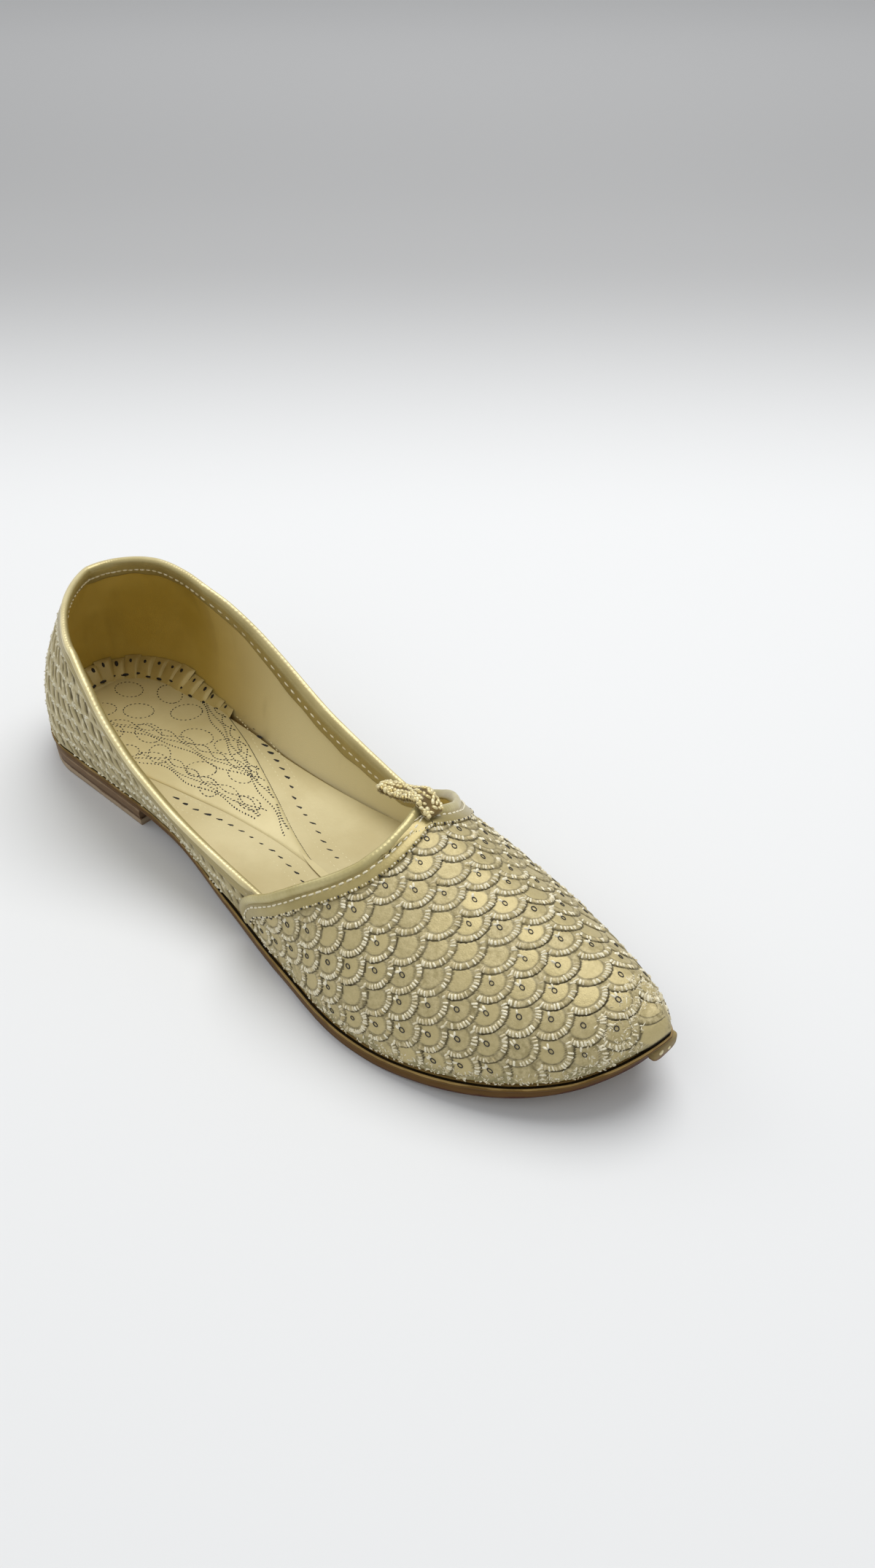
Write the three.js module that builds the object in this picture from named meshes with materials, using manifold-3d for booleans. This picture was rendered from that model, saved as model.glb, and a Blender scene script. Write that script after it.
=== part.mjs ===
// A mojari shoe for the right foot, standing empty on its sole.
// Lengths are in millimetres. X runs from heel to toe, +Y is the medial side and Z is up.
// The tables are written from the back of the heel (x = 0) and the floor (z = 0).
// The group at the end puts the origin on the floor under the middle of the heel.

import * as THREE from 'three';
import { mergeVertices } from 'three/addons/utils/BufferGeometryUtils.js';
import Module from 'manifold-3d';

const wasm = await Module();
wasm.setup();

// Driving dimensions of the last and of its leathers
const LENGTH = 280;
const TIP_Y = 5;
const BALL_X = 198;
const HEEL_RADIUS = 30;
const HEEL_CENTRE_Y = 1.8;
const HEEL_REST_X = 38;
const BREAST_X = 73;
const GAP = 0.3;
const VAMP_WALL = 2.0;
const QUARTER_WALL = 1.8;
const MIDSOLE_THICK = 1.2;
const INSOLE_THICK = 2.0;
const SOCK_THICK = 1.0;
const WELT_EDGE = 0.8;
const MERGE_TOLERANCE = 1e-4;

// Sole: half widths to each side, height of its underside, and thickness with the midsole.
// The rows at 15 and 212 repeat their neighbours, so that the curves run level into both ends.
const SOLE = [
  { x: 15, lateral: 28.4, medial: 30.0 },
  { x: 30, lateral: 28.4, medial: 30.0 },
  { x: 60, lateral: 28.6, medial: 28.5 },
  { x: 90, lateral: 29.2, medial: 27.0 },
  { x: 130, lateral: 36.0, medial: 31.5 },
  { x: 165, lateral: 43.4, medial: 38.8 },
  { x: 198, lateral: 48.6, medial: 42.5 },
  { x: 212, lateral: 48.6, medial: 42.5 },
];
const SOLE_HEIGHT = [
  { x: 0, bottom: 7.6, thick: 3.7 },
  { x: 60, bottom: 7.6, thick: 3.7 },
  { x: 74, bottom: 7.6, thick: 3.7 },
  { x: 95, bottom: 6.0, thick: 3.8 },
  { x: 125, bottom: 2.2, thick: 4.2 },
  { x: 150, bottom: 0.3, thick: 4.6 },
  { x: 162, bottom: 0.0, thick: 4.8 },
  { x: 208, bottom: 0.0, thick: 5.0 },
  { x: 230, bottom: 2.0, thick: 5.0 },
  { x: 250, bottom: 5.2, thick: 5.0 },
  { x: 265, bottom: 9.0, thick: 5.3 },
  { x: 272, bottom: 11.6, thick: 6.6 },
  { x: 280, bottom: 14.5, thick: 9.6 },
];

// In front of the ball each side is a quarter of a superellipse that ends at the tip.
const TOE_CURVE = {
  lateral: { along: 1.9, across: 0.57 },
  medial: { along: 1.65, across: 0.75 },
};

// Foot of the upper: how far it stands inside the sole's edge.
const FOOT = [
  { x: 0, tuck: 0.0 },
  { x: 110, tuck: 0.2 },
  { x: 150, tuck: 0.8 },
  { x: 280, tuck: 0.8 },
];

// Vamp: ridge height, how much each side swells, and how flat each side falls
// from the ridge (1 is an ellipse, more is flatter).
const VAMP = [
  { x: 140, ridge: 70.0, lateralSwell: 9.0, medialSwell: 10.0, lateralFall: 1.0, medialFall: 1.25 },
  { x: 155, ridge: 64.5, lateralSwell: 5.0, medialSwell: 6.5, lateralFall: 1.0, medialFall: 1.3 },
  { x: 183, ridge: 55.2, lateralSwell: 1.6, medialSwell: 0.8, lateralFall: 1.0, medialFall: 1.35 },
  { x: 205, ridge: 49.2, lateralSwell: 1.0, medialSwell: 0.0, lateralFall: 1.0, medialFall: 1.35 },
  { x: 230, ridge: 43.5, lateralSwell: 1.0, medialSwell: 0.0, lateralFall: 1.0, medialFall: 1.33 },
  { x: 250, ridge: 39.0, lateralSwell: 0.8, medialSwell: 0.0, lateralFall: 1.0, medialFall: 1.25 },
  { x: 265, ridge: 35.4, lateralSwell: 0.5, medialSwell: 0.0, lateralFall: 1.0, medialFall: 1.12 },
  { x: 272, ridge: 31.6, lateralSwell: 0.2, medialSwell: 0.0, lateralFall: 1.0, medialFall: 1.05 },
  { x: 280, ridge: 31.6, lateralSwell: 0.0, medialSwell: 0.0, lateralFall: 1.0, medialFall: 1.0 },
];

// Toward the toe the ridge sets back from the outline's tip and swings over to the tip's side.
const RIDGE_SETBACK = 8;
const SETBACK_FROM = 200;
const RIDGE_SWING = 4.5;

// Throat: where the vamp's back edge lies for each angle up from the sole to the ridge.
const THROAT = [
  { angle: 0, x: 147.0 },
  { angle: 8, x: 144.5 },
  { angle: 14, x: 147.0 },
  { angle: 28, x: 161.5 },
  { angle: 41, x: 172.5 },
  { angle: 49, x: 178.4 },
  { angle: 55, x: 182.0 },
  { angle: 62, x: 185.0 },
  { angle: 73, x: 186.8 },
  { angle: 81, x: 186.4 },
  { angle: 90, x: 184.5 },
];

// Quarter from the heel's side to under the vamp: collar height and half widths,
// swell of the wall between foot and collar, and how far it tucks inside the vamp.
const QUARTER = [
  { x: 50, collar: 65.0, lateral: 30.0, medial: 28.4 },
  { x: 60, collar: 59.0, lateral: 33.0, medial: 32.0 },
  { x: 75, collar: 48.8, lateral: 36.2, medial: 35.2 },
  { x: 90, collar: 39.3, lateral: 37.3, medial: 36.3 },
  { x: 110, collar: 29.8, lateral: 37.2, medial: 36.2 },
  { x: 130, collar: 24.8, lateral: 37.2, medial: 35.2 },
  { x: 145, collar: 22.3, lateral: 37.4, medial: 34.2 },
  { x: 166, collar: 19.5, lateral: 38.2, medial: 34.2 },
];
const QUARTER_WALL_SHAPE = [
  { x: 0, swell: 3.6, tuck: 0.0 },
  { x: 25, swell: 4.8, tuck: 0.0 },
  { x: 45, swell: 4.2, tuck: 0.0 },
  { x: 60, swell: 3.0, tuck: 0.0 },
  { x: 80, swell: 1.2, tuck: 0.0 },
  { x: 110, swell: 0.6, tuck: 0.0 },
  { x: 135, swell: 0.3, tuck: 0.4 },
  { x: 150, swell: 0.0, tuck: 1.2 },
  { x: 166, swell: 0.0, tuck: 1.2 },
];
const QUARTER_FRONT_X = 166;

// Back of the collar: it leans in over the heel, and its middle stands to the medial side.
// Each side is a quarter of a superellipse, flatter on the lateral side.
const COLLAR_BACK = { x: 10.2, y: 5.2, until: 50, lateralRound: 1.32, medialRound: 2.2 };
const COLLAR_BACK_HEIGHT = [
  { x: 10, collar: 66.0 },
  { x: 28, collar: 68.0 },
  { x: 40, collar: 66.8 },
  { x: 50, collar: 65.0 },
];

// Sock on the insole: signed distances of its two edges from the heel's axis.
const SOCK = [
  { x: 34, lateral: -21.5, medial: 27.6 },
  { x: 50, lateral: -21.0, medial: 27.2 },
  { x: 64, lateral: -19.4, medial: 23.2 },
  { x: 78, lateral: -16.6, medial: 18.6 },
  { x: 107, lateral: -9.6, medial: 7.2 },
  { x: 128, lateral: -6.6, medial: -1.4 },
  { x: 140, lateral: -6.4, medial: -5.0 },
  { x: 148, lateral: -6.9, medial: -6.3 },
];
const SOCK_BACK_X = 8.5;

// Tab at the throat: its middle line, half width and thickness along it.
const TAB = [
  { x: 166.0, y: 2.9, middle: 52.4, half: 3.2, thick: 2.8 },
  { x: 172.0, y: 3.8, middle: 53.4, half: 4.2, thick: 3.0 },
  { x: 178.0, y: 3.4, middle: 55.9, half: 4.6, thick: 3.0 },
  { x: 184.0, y: 2.4, middle: 59.1, half: 4.8, thick: 2.8 },
  { x: 190.0, y: 1.6, middle: 58.2, half: 4.4, thick: 2.2 },
];

const COLOURS = {
  brocade: { color: 0xb3a780, roughness: 0.5, metalness: 0.35 },
  foil: { color: 0xc9b77a, roughness: 0.4, metalness: 0.4 },
  insole: { color: 0xcabf93, roughness: 0.5, metalness: 0.2 },
  sole: { color: 0x8f7345, roughness: 0.6, metalness: 0.0 },
  edge: { color: 0xc2a873, roughness: 0.6, metalness: 0.0 },
  heel: { color: 0x8a6f55, roughness: 0.6, metalness: 0.0 },
};

const LATERAL = -1;
const MEDIAL = 1;
const sideName = (side) => (side === LATERAL ? 'lateral' : 'medial');
const clamp01 = (value) => Math.min(1, Math.max(0, value));

// Curve through one column of a table: a cubic that never overshoots its rows.
function curve(table, column, key = 'x') {
  const xs = table.map((row) => row[key]);
  const ys = table.map((row) => row[column]);
  const last = xs.length - 1;
  const rise = (i) => (ys[i + 1] - ys[i]) / (xs[i + 1] - xs[i]);
  const slopes = xs.map((_, i) => {
    if (i === 0) return rise(0);
    if (i === last) return rise(last - 1);
    const [before, after] = [rise(i - 1), rise(i)];
    return before * after <= 0 ? 0 : (2 * before * after) / (before + after);
  });
  return (x) => {
    const at = Math.min(xs[last], Math.max(xs[0], x));
    let i = 0;
    while (i < last - 1 && at > xs[i + 1]) i += 1;
    const width = xs[i + 1] - xs[i];
    const t = (at - xs[i]) / width;
    const hold = (1 + 2 * t) * (1 - t) ** 2 * ys[i] + t * t * (3 - 2 * t) * ys[i + 1];
    return hold + width * (t * (1 - t) ** 2 * slopes[i] - t * t * (1 - t) * slopes[i + 1]);
  };
}

const columns = (table, names) =>
  Object.fromEntries(names.map((name) => [name, curve(table, name)]));

const sole = columns(SOLE, ['lateral', 'medial']);
const soleHeight = columns(SOLE_HEIGHT, ['bottom', 'thick']);
const foot = columns(FOOT, ['tuck']);
const vampTable = columns(VAMP, ['ridge', 'lateralSwell', 'medialSwell', 'lateralFall', 'medialFall']);
const quarterTable = columns(QUARTER, ['collar', 'lateral', 'medial']);
const quarterShape = columns(QUARTER_WALL_SHAPE, ['swell', 'tuck']);
const collarBackHeight = curve(COLLAR_BACK_HEIGHT, 'collar');
const throatX = curve(THROAT, 'x', 'angle');
const sockTable = columns(SOCK, ['lateral', 'medial']);
const tabTable = columns(TAB, ['y', 'middle', 'half', 'thick']);

// Outline of the sole
const soleTop = (x) => soleHeight.bottom(x) + soleHeight.thick(x);

function outlineY(x, side) {
  const full = side * sole[sideName(side)](x);
  if (x < HEEL_RADIUS) {
    const back = (HEEL_RADIUS - x) / HEEL_RADIUS;
    return HEEL_CENTRE_Y + (full - HEEL_CENTRE_Y) * Math.sqrt(Math.max(0, 1 - back * back));
  }
  if (x > BALL_X) {
    const toe = TOE_CURVE[sideName(side)];
    const t = clamp01((x - BALL_X) / (LENGTH - BALL_X));
    return TIP_Y + (full - TIP_Y) * (1 - t ** toe.along) ** toe.across;
  }
  return full;
}

// Outward direction of the outline, level with the floor
function outlineNormal(x, side) {
  if (x <= 0) return [-1, 0];
  if (x >= LENGTH) return [1, 0];
  const step = Math.min(0.05, x / 4, (LENGTH - x) / 4);
  const slope = (outlineY(x + step, side) - outlineY(x - step, side)) / (2 * step);
  const size = Math.hypot(1, slope);
  return [(-side * slope) / size, side / size];
}

// A point of the outline, moved outward by an offset
function outlinePoint(x, side, offset) {
  const [nx, ny] = outlineNormal(x, side);
  return [x + nx * offset, outlineY(x, side) + ny * offset];
}

// Outer surface of the vamp: at station x, a rib climbs from the foot to the ridge.
// Angle 0 is the foot and 90 degrees the ridge; offset moves the surface outward.
const footHeight = (x) => soleTop(x) + GAP;

function ridgePoint(x, offset) {
  const setback = RIDGE_SETBACK * clamp01((x - SETBACK_FROM) / (LENGTH - SETBACK_FROM)) ** 3;
  const toTip = clamp01((x - BALL_X) / (LENGTH - BALL_X));
  const back = x - setback;
  return [back + offset * toTip ** 3, RIDGE_SWING * toTip ** 1.5, vampTable.ridge(back) + offset];
}

function vampPoint(x, angle, side, offset = 0) {
  const radians = THREE.MathUtils.degToRad(angle);
  const [px, py] = outlinePoint(x, side, offset - foot.tuck(x));
  const [rx, ry, rz] = ridgePoint(x, offset);
  const fall = vampTable[`${sideName(side)}Fall`](x);
  const across = Math.max(0, Math.cos(radians)) ** fall;
  const up = Math.max(0, Math.sin(radians)) ** fall;
  const swell = side * vampTable[`${sideName(side)}Swell`](x) * Math.sin(2 * radians);
  const low = footHeight(x);
  return new THREE.Vector3(rx + (px - rx) * across, ry + (py - ry) * across + swell, low + (rz - low) * up);
}

// Outer surface of the quarter: rise 0 is the foot and 1 the collar's rim.
// Ribs behind COLLAR_BACK.until lean forward onto the back of the collar.
function collarPoint(x, side) {
  if (x >= COLLAR_BACK.until) {
    return [x, side * quarterTable[sideName(side)](x), quarterTable.collar(x)];
  }
  const reach = COLLAR_BACK.until - COLLAR_BACK.x;
  const cx = COLLAR_BACK.x + (reach * x) / COLLAR_BACK.until;
  const round = COLLAR_BACK[`${sideName(side)}Round`];
  const full = side * quarterTable[sideName(side)](COLLAR_BACK.until) - COLLAR_BACK.y;
  const share = (1 - ((COLLAR_BACK.until - cx) / reach) ** round) ** (1 / round);
  return [cx, COLLAR_BACK.y + full * share, collarBackHeight(cx)];
}

function quarterPoint(x, rise, side, offset = 0) {
  const [nx, ny] = outlineNormal(x, side);
  const [fx, fy] = outlinePoint(x, side, -foot.tuck(x) - quarterShape.tuck(x));
  const [cx, cy, cz] = collarPoint(x, side);
  const swell = quarterShape.swell(x) * Math.sin(Math.PI * clamp01(rise)) + offset;
  const low = footHeight(x);
  return new THREE.Vector3(
    fx + (cx - fx) * rise + nx * swell,
    fy + (cy - fy) * rise + ny * swell,
    low + (cz - low) * rise,
  );
}

const collarHeightAbove = (x, side) => collarPoint(x, side)[2] - footHeight(x);

// Even steps, and stations round the back of the heel
const spaced = (from, to, count) =>
  Array.from({ length: count }, (_, i) => from + ((to - from) * i) / (count - 1));
const heelStations = spaced(0, Math.PI / 2, 9).map((turn) => HEEL_RADIUS * (1 - Math.cos(turn)));

// Closed mesh from points and triangles: joins equal points, drops flat triangles,
// and turns the faces out.
function closedMesh(points, triangles) {
  const raw = new THREE.BufferGeometry();
  raw.setAttribute('position', new THREE.Float32BufferAttribute(points.flatMap((p) => p.toArray()), 3));
  raw.setIndex(triangles.flat());
  const merged = mergeVertices(raw, MERGE_TOLERANCE);
  const index = merged.getIndex().array;
  const kept = [];
  for (let i = 0; i < index.length; i += 3) {
    const [a, b, c] = [index[i], index[i + 1], index[i + 2]];
    if (a !== b && b !== c && c !== a) kept.push(a, b, c);
  }
  merged.setIndex(kept);
  return volumeOf(merged) < 0 ? turned(merged) : merged;
}

function volumeOf(geometry) {
  const position = geometry.getAttribute('position');
  const index = geometry.getIndex().array;
  const corner = (i) => new THREE.Vector3().fromBufferAttribute(position, index[i]);
  let sum = 0;
  for (let i = 0; i < index.length; i += 3) {
    sum += corner(i).dot(corner(i + 1).cross(corner(i + 2))) / 6;
  }
  return sum;
}

function turned(geometry) {
  const index = Array.from(geometry.getIndex().array);
  for (let i = 0; i < index.length; i += 3) [index[i + 1], index[i + 2]] = [index[i + 2], index[i + 1]];
  geometry.setIndex(index);
  return geometry;
}

// Sweep: the section's points at each step; ends are closed with the section's own triangles.
function sweep(section, steps, place) {
  const size = section.length;
  const points = steps.flatMap((step) => section.map((spot) => place(step, spot)));
  const triangles = [];
  for (let s = 0; s < steps.length - 1; s += 1) {
    for (let k = 0; k < size; k += 1) {
      const [a, b] = [s * size + k, s * size + ((k + 1) % size)];
      triangles.push([a, b, b + size], [a, b + size, a + size]);
    }
  }
  const flat = section.map(([u, v]) => new THREE.Vector2(u, v));
  const end = (steps.length - 1) * size;
  const facing = THREE.ShapeUtils.isClockWise(flat) ? -1 : 1;
  for (const [a, b, c] of THREE.ShapeUtils.triangulateShape(flat, [])) {
    const [first, second] = facing > 0 ? [b, c] : [c, b];
    triangles.push([a, second, first], [end + a, end + first, end + second]);
  }
  return closedMesh(points, triangles);
}

// Wall: two grids of the same size, joined along the edges that are left open
function wall(across, along, outer, inner, foldedEnd) {
  const points = [];
  for (const surface of [outer, inner]) {
    for (const a of along) {
      for (const c of across) points.push(surface(a, c));
    }
  }
  const width = across.length;
  const layer = width * along.length;
  const at = (row, column, skin) => skin * layer + row * width + column;
  const triangles = [];
  const quad = (a, b, c, d) => triangles.push([a, b, c], [a, c, d]);
  for (let r = 0; r < along.length - 1; r += 1) {
    for (let c = 0; c < width - 1; c += 1) {
      quad(at(r, c, 0), at(r, c + 1, 0), at(r + 1, c + 1, 0), at(r + 1, c, 0));
      quad(at(r, c, 1), at(r + 1, c, 1), at(r + 1, c + 1, 1), at(r, c + 1, 1));
    }
    quad(at(r, 0, 0), at(r + 1, 0, 0), at(r + 1, 0, 1), at(r, 0, 1));
    quad(at(r, width - 1, 0), at(r, width - 1, 1), at(r + 1, width - 1, 1), at(r + 1, width - 1, 0));
  }
  const last = along.length - 1;
  for (let c = 0; c < width - 1; c += 1) {
    quad(at(0, c, 0), at(0, c, 1), at(0, c + 1, 1), at(0, c + 1, 0));
    if (!foldedEnd) quad(at(last, c, 0), at(last, c + 1, 0), at(last, c + 1, 1), at(last, c, 1));
  }
  return closedMesh(points, triangles);
}

function toSolid(geometry) {
  return new wasm.Manifold(new wasm.Mesh({
    numProp: 3,
    vertProperties: new Float32Array(geometry.getAttribute('position').array),
    triVerts: new Uint32Array(geometry.getIndex().array),
  }));
}

function fromSolid(solid) {
  const mesh = solid.getMesh();
  const geometry = new THREE.BufferGeometry();
  geometry.setAttribute('position', new THREE.Float32BufferAttribute(mesh.vertProperties, 3));
  geometry.setIndex(Array.from(mesh.triVerts));
  return geometry;
}

// Flat layer under the foot: an edge profile carried round the outline at each station.
// Each profile spot gives how far the edge stands out and its share of the layer's height.
const EDGE = [
  { out: -0.5, height: 0 },
  { out: 0, height: 0.22 },
  { out: 0, height: 0.8 },
  { out: -0.3, height: 1 },
];

function layer(stations, edge, bottom, top) {
  const section = [
    ...EDGE.map((spot) => [LATERAL, spot]),
    ...[...EDGE].reverse().map((spot) => [MEDIAL, spot]),
  ];
  const ring = (x) => section.map(([side, spot]) => {
    const [px, py] = edge(x, side, spot.out);
    return new THREE.Vector3(px, py, bottom(x) + (top(x) - bottom(x)) * spot.height);
  });
  const rings = stations.map(ring);
  const size = section.length;
  const points = rings.flat();
  const triangles = [];
  for (let s = 0; s < rings.length - 1; s += 1) {
    for (let k = 0; k < size; k += 1) {
      const [a, b] = [s * size + k, s * size + ((k + 1) % size)];
      triangles.push([a, b, b + size], [a, b + size, a + size]);
    }
  }
  const capped = (base, flip) => {
    for (let k = 0; k < EDGE.length - 1; k += 1) {
      const quad = [k, k + 1, size - 2 - k, size - 1 - k].map((i) => base + i);
      const [a, b, c, d] = flip ? [...quad].reverse() : quad;
      triangles.push([a, b, c], [a, c, d]);
    }
  };
  capped(0, true);
  capped((rings.length - 1) * size, false);
  return closedMesh(points, triangles);
}

// The outsole stops short of the tip, where the toe's folded nose stands in front of it,
// and the midsole closes the upper almost to the tip.
const SOLE_FRONT = 275.6;
const MIDSOLE_FRONT = 279.2;
const MIDSOLE_OUT = 0.2;
const alongSole = [
  ...heelStations, 45, 60, 66, BREAST_X, 82, 92, 104, 116, 128, 140, 151, 162,
  174, 186, 198, 208, 218, 228, 237, 246, 254, 260.5, 266, 270,
];
const soleStations = [...alongSole, 272.8, 274.6, 275.3, SOLE_FRONT];
const midsoleStations = [...alongSole, 273.5, 276.4, 278.2, 278.9, MIDSOLE_FRONT];

// A layer that ends short of the tip is drawn back from the outline in front of the ball,
// by a share that grows with the power given.
function drawnBack(front, power) {
  return (x) => x + (LENGTH - front) * clamp01((x - BALL_X) / (front - BALL_X)) ** power;
}
const drawnEdge = (full, stretch) => (x, side, out) => {
  const [px, py] = outlinePoint(full(x), side, out + stretch);
  return [px - (full(x) - x), py];
};

const LATE = 5;
const STEADY = 1;
const jointAt = (x) => soleTop(x) - MIDSOLE_THICK;
const outsoleEdge = drawnEdge(drawnBack(SOLE_FRONT, LATE), 0);
const outsole = layer(soleStations, outsoleEdge, soleHeight.bottom, (x) => jointAt(x) - GAP / 2);
const midsoleEdge = drawnEdge(drawnBack(MIDSOLE_FRONT, LATE), MIDSOLE_OUT);
const midsole = layer(midsoleStations, midsoleEdge, (x) => jointAt(x) + GAP / 2, soleTop);

// Heel: a block under the sole and a top lift that stands on the floor
const LIFT_TOP = 3.0;
const BLOCK_INSET = 0.2;
const LIFT_INSET = 0.4;
const heelRing = [...heelStations, 45, 60, BREAST_X];
const heelEdge = (inset) => (x, side, out) => outlinePoint(x, side, out - inset);
const blockTop = (x) => soleHeight.bottom(x) - GAP;
const heelBlock = layer(heelRing, heelEdge(BLOCK_INSET), () => LIFT_TOP + GAP, blockTop);
const heelTopLift = layer(heelRing, heelEdge(LIFT_INSET), () => 0, () => LIFT_TOP);

// Insole inside the wall of the upper, and the sock on it
const INSOLE_FRONT = 266;
const LINING_ROOM = 1.6;
const insoleInset = VAMP_WALL + WELT_EDGE + GAP + LINING_ROOM;
const insoleBottom = (x) => soleTop(x) + GAP;
const insoleTop = (x) => insoleBottom(x) + INSOLE_THICK;
const insoleStations = [...alongSole.filter((x) => x < INSOLE_FRONT), INSOLE_FRONT];
const insoleEdge = drawnEdge(drawnBack(INSOLE_FRONT, STEADY), -insoleInset);
const insole = layer(insoleStations, insoleEdge, insoleBottom, insoleTop);

const sockStations = [
  ...spaced(0, Math.PI / 2, 8).map((turn) => SOCK_BACK_X + (SOCK[0].x - SOCK_BACK_X) * (1 - Math.cos(turn))),
  42, 50, 57, 64, 71, 78, 88, 98, 107, 117, 127, 136, 148,
];
const SOCK_MIDDLE_Y = (SOCK[0].lateral + SOCK[0].medial) / 2;
function sockEdge(x, side, out) {
  const full = sockTable[sideName(side)](x);
  const back = clamp01((SOCK[0].x - x) / (SOCK[0].x - SOCK_BACK_X));
  const y = SOCK_MIDDLE_Y + (full - SOCK_MIDDLE_Y) * Math.sqrt(1 - back * back);
  return [x, x > SOCK[0].x ? full + side * out : y];
}
const sock = layer(
  sockStations, sockEdge,
  (x) => insoleTop(x) + GAP, (x) => insoleTop(x) + GAP + SOCK_THICK,
);

// Upper: vamp and quarter are one hollow wall, open at the collar and throat and under the foot.
// The vamp's edge stands off the quarter as a step on each side.
// Its ribs stand closer together at the throat and at the toe.
const RIB_EASE = 0.08;
const TOE_CROWDING = 1.5;
const sweepShares = spaced(0, 1, 26).map((t) => {
  const eased = t - RIB_EASE * Math.sin(2 * Math.PI * t);
  return 1 - (1 - eased) ** TOE_CROWDING;
});
const halfTurn = [0, 4, 8, 12, 17, 22, 28, 34, 41, 48, 55, 63, 72, 81, 90];
const turns = [
  ...halfTurn.map((angle) => [LATERAL, angle]),
  ...halfTurn.slice(0, -1).reverse().map((angle) => [MEDIAL, angle]),
];
const vampAt = (share, [side, angle], offset) => {
  const from = throatX(angle);
  return vampPoint(from + (LENGTH - from) * share, angle, side, offset);
};
const vampWall = wall(
  turns, sweepShares,
  (share, turn) => vampAt(share, turn, 0),
  (share, turn) => vampAt(share, turn, -VAMP_WALL),
  true,
);

const sideStations = [QUARTER_FRONT_X, 156, 148, 141, 133, 125, 116, 106, 96, 87, 78, 69, 61, 54, 47, 40, 35];
const quarterRun = [
  ...sideStations.map((x) => [LATERAL, x]),
  ...[...heelStations].reverse().map((x) => [LATERAL, x]),
  ...heelStations.slice(1).map((x) => [MEDIAL, x]),
  ...[...sideStations].reverse().map((x) => [MEDIAL, x]),
];
const rises = spaced(0, 1, 7);
const quarterWall = wall(
  rises, quarterRun,
  ([side, x], rise) => quarterPoint(x, rise, side),
  ([side, x], rise) => quarterPoint(x, rise, side, -QUARTER_WALL),
  false,
);
const upper = fromSolid(toSolid(vampWall).add(toSolid(quarterWall)));

// Collar binding: a rolled edge over the rim with a flat strip down the lining.
// Spots give the distance outward from the wall and the depth below the rim.
const BINDING_SECTION = [
  [1.2, 2.0], [1.6, 0.6], [1.2, -0.8], [0.2, -1.6], [-0.9, -1.9], [-2.0, -1.6],
  [-3.0, -0.8], [-3.4, 0.6], [-3.1, 5.0], [-2.3, 5.0], [-2.2, -GAP], [GAP, -GAP], [GAP, 2.0],
];
const BINDING_FRONT_X = 141;
const bindingRun = quarterRun.filter(([, x]) => x <= BINDING_FRONT_X);
const collarBinding = sweep(BINDING_SECTION, bindingRun, ([side, x], [out, depth]) =>
  quarterPoint(x, 1 - depth / collarHeightAbove(x, side), side, out));

// Throat band: lies on the vamp along its back edge. Above the collar it rolls over the edge,
// and where the quarter passes close behind it stays flat.
// Spots give the distance outward from the vamp and the distance forward from its edge.
const BAND_ROLLED = [
  [1.3, 6.0], [1.4, 3.0], [1.7, 1.6], [1.9, 0.4], [1.3, -0.9], [0.2, -1.5], [-1.0, -1.6],
  [-2.0, -1.3], [-2.3, -0.9], [-2.2, -0.5], [-1.0, -0.4], [0.4, -0.4], [0.4, 1.6], [0.4, 3.0], [0.4, 6.0],
];
const BAND_FLAT = [
  [1.3, 6.0], [1.4, 3.0], [1.5, 1.6], [1.5, 0.6], [1.3, -0.4], [1.1, -0.7], [0.9, -0.8],
  [0.7, -0.8], [0.6, -0.7], [0.5, -0.6], [0.45, -0.5], [0.4, -0.4], [0.4, 1.6], [0.4, 3.0], [0.4, 6.0],
];
const FLAT_BELOW = 8;
const ROLLED_FROM = 22;
const bandTurns = halfTurn.slice(1);
const bandRun = [
  ...bandTurns.map((angle) => [LATERAL, angle]),
  ...bandTurns.slice(0, -1).reverse().map((angle) => [MEDIAL, angle]),
];

// Moves from the vamp's edge across the band: the step is taken at right angles to the edge,
// in the surface, and turned into a change of station and of angle.
const SLOPE_STEP = 0.25;
function besideThroat([side, angle], distance, offset) {
  const small = SLOPE_STEP;
  const edgeAt = (a) => vampPoint(throatX(a), a, side);
  const x = throatX(angle);
  const low = Math.max(0, angle - small);
  const high = Math.min(90, angle + small);
  const along = edgeAt(high).sub(edgeAt(low)).normalize();
  const ahead = vampPoint(x + small, angle, side);
  const byX = ahead.sub(vampPoint(x - small, angle, side)).divideScalar(2 * small);
  const byAngle = vampPoint(x, high, side).sub(vampPoint(x, low, side)).divideScalar(high - low);
  const normal = new THREE.Vector3().crossVectors(byX, byAngle).normalize();
  const inward = new THREE.Vector3().crossVectors(normal, along).normalize();
  if (inward.x < 0) inward.negate();
  const step = inward.multiplyScalar(distance);
  const [xx, xa, aa] = [byX.dot(byX), byX.dot(byAngle), byAngle.dot(byAngle)];
  const [sx, sa] = [step.dot(byX), step.dot(byAngle)];
  const scale = xx * aa - xa * xa;
  const dx = (sx * aa - sa * xa) / scale;
  const da = (sa * xx - sx * xa) / scale;
  return vampPoint(x + dx, Math.min(90, Math.max(0, angle + da)), side, offset);
}

const bandSpots = BAND_ROLLED.map(([out, distance], i) => [out, distance, i]);
const throatBand = sweep(bandSpots, bandRun, (turn, [, , i]) => {
  const rolled = THREE.MathUtils.smoothstep(turn[1], FLAT_BELOW, ROLLED_FROM);
  const [out, distance] = BAND_FLAT[i].map((flat, k) => flat + (BAND_ROLLED[i][k] - flat) * rolled);
  return besideThroat(turn, distance, out);
});

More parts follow.
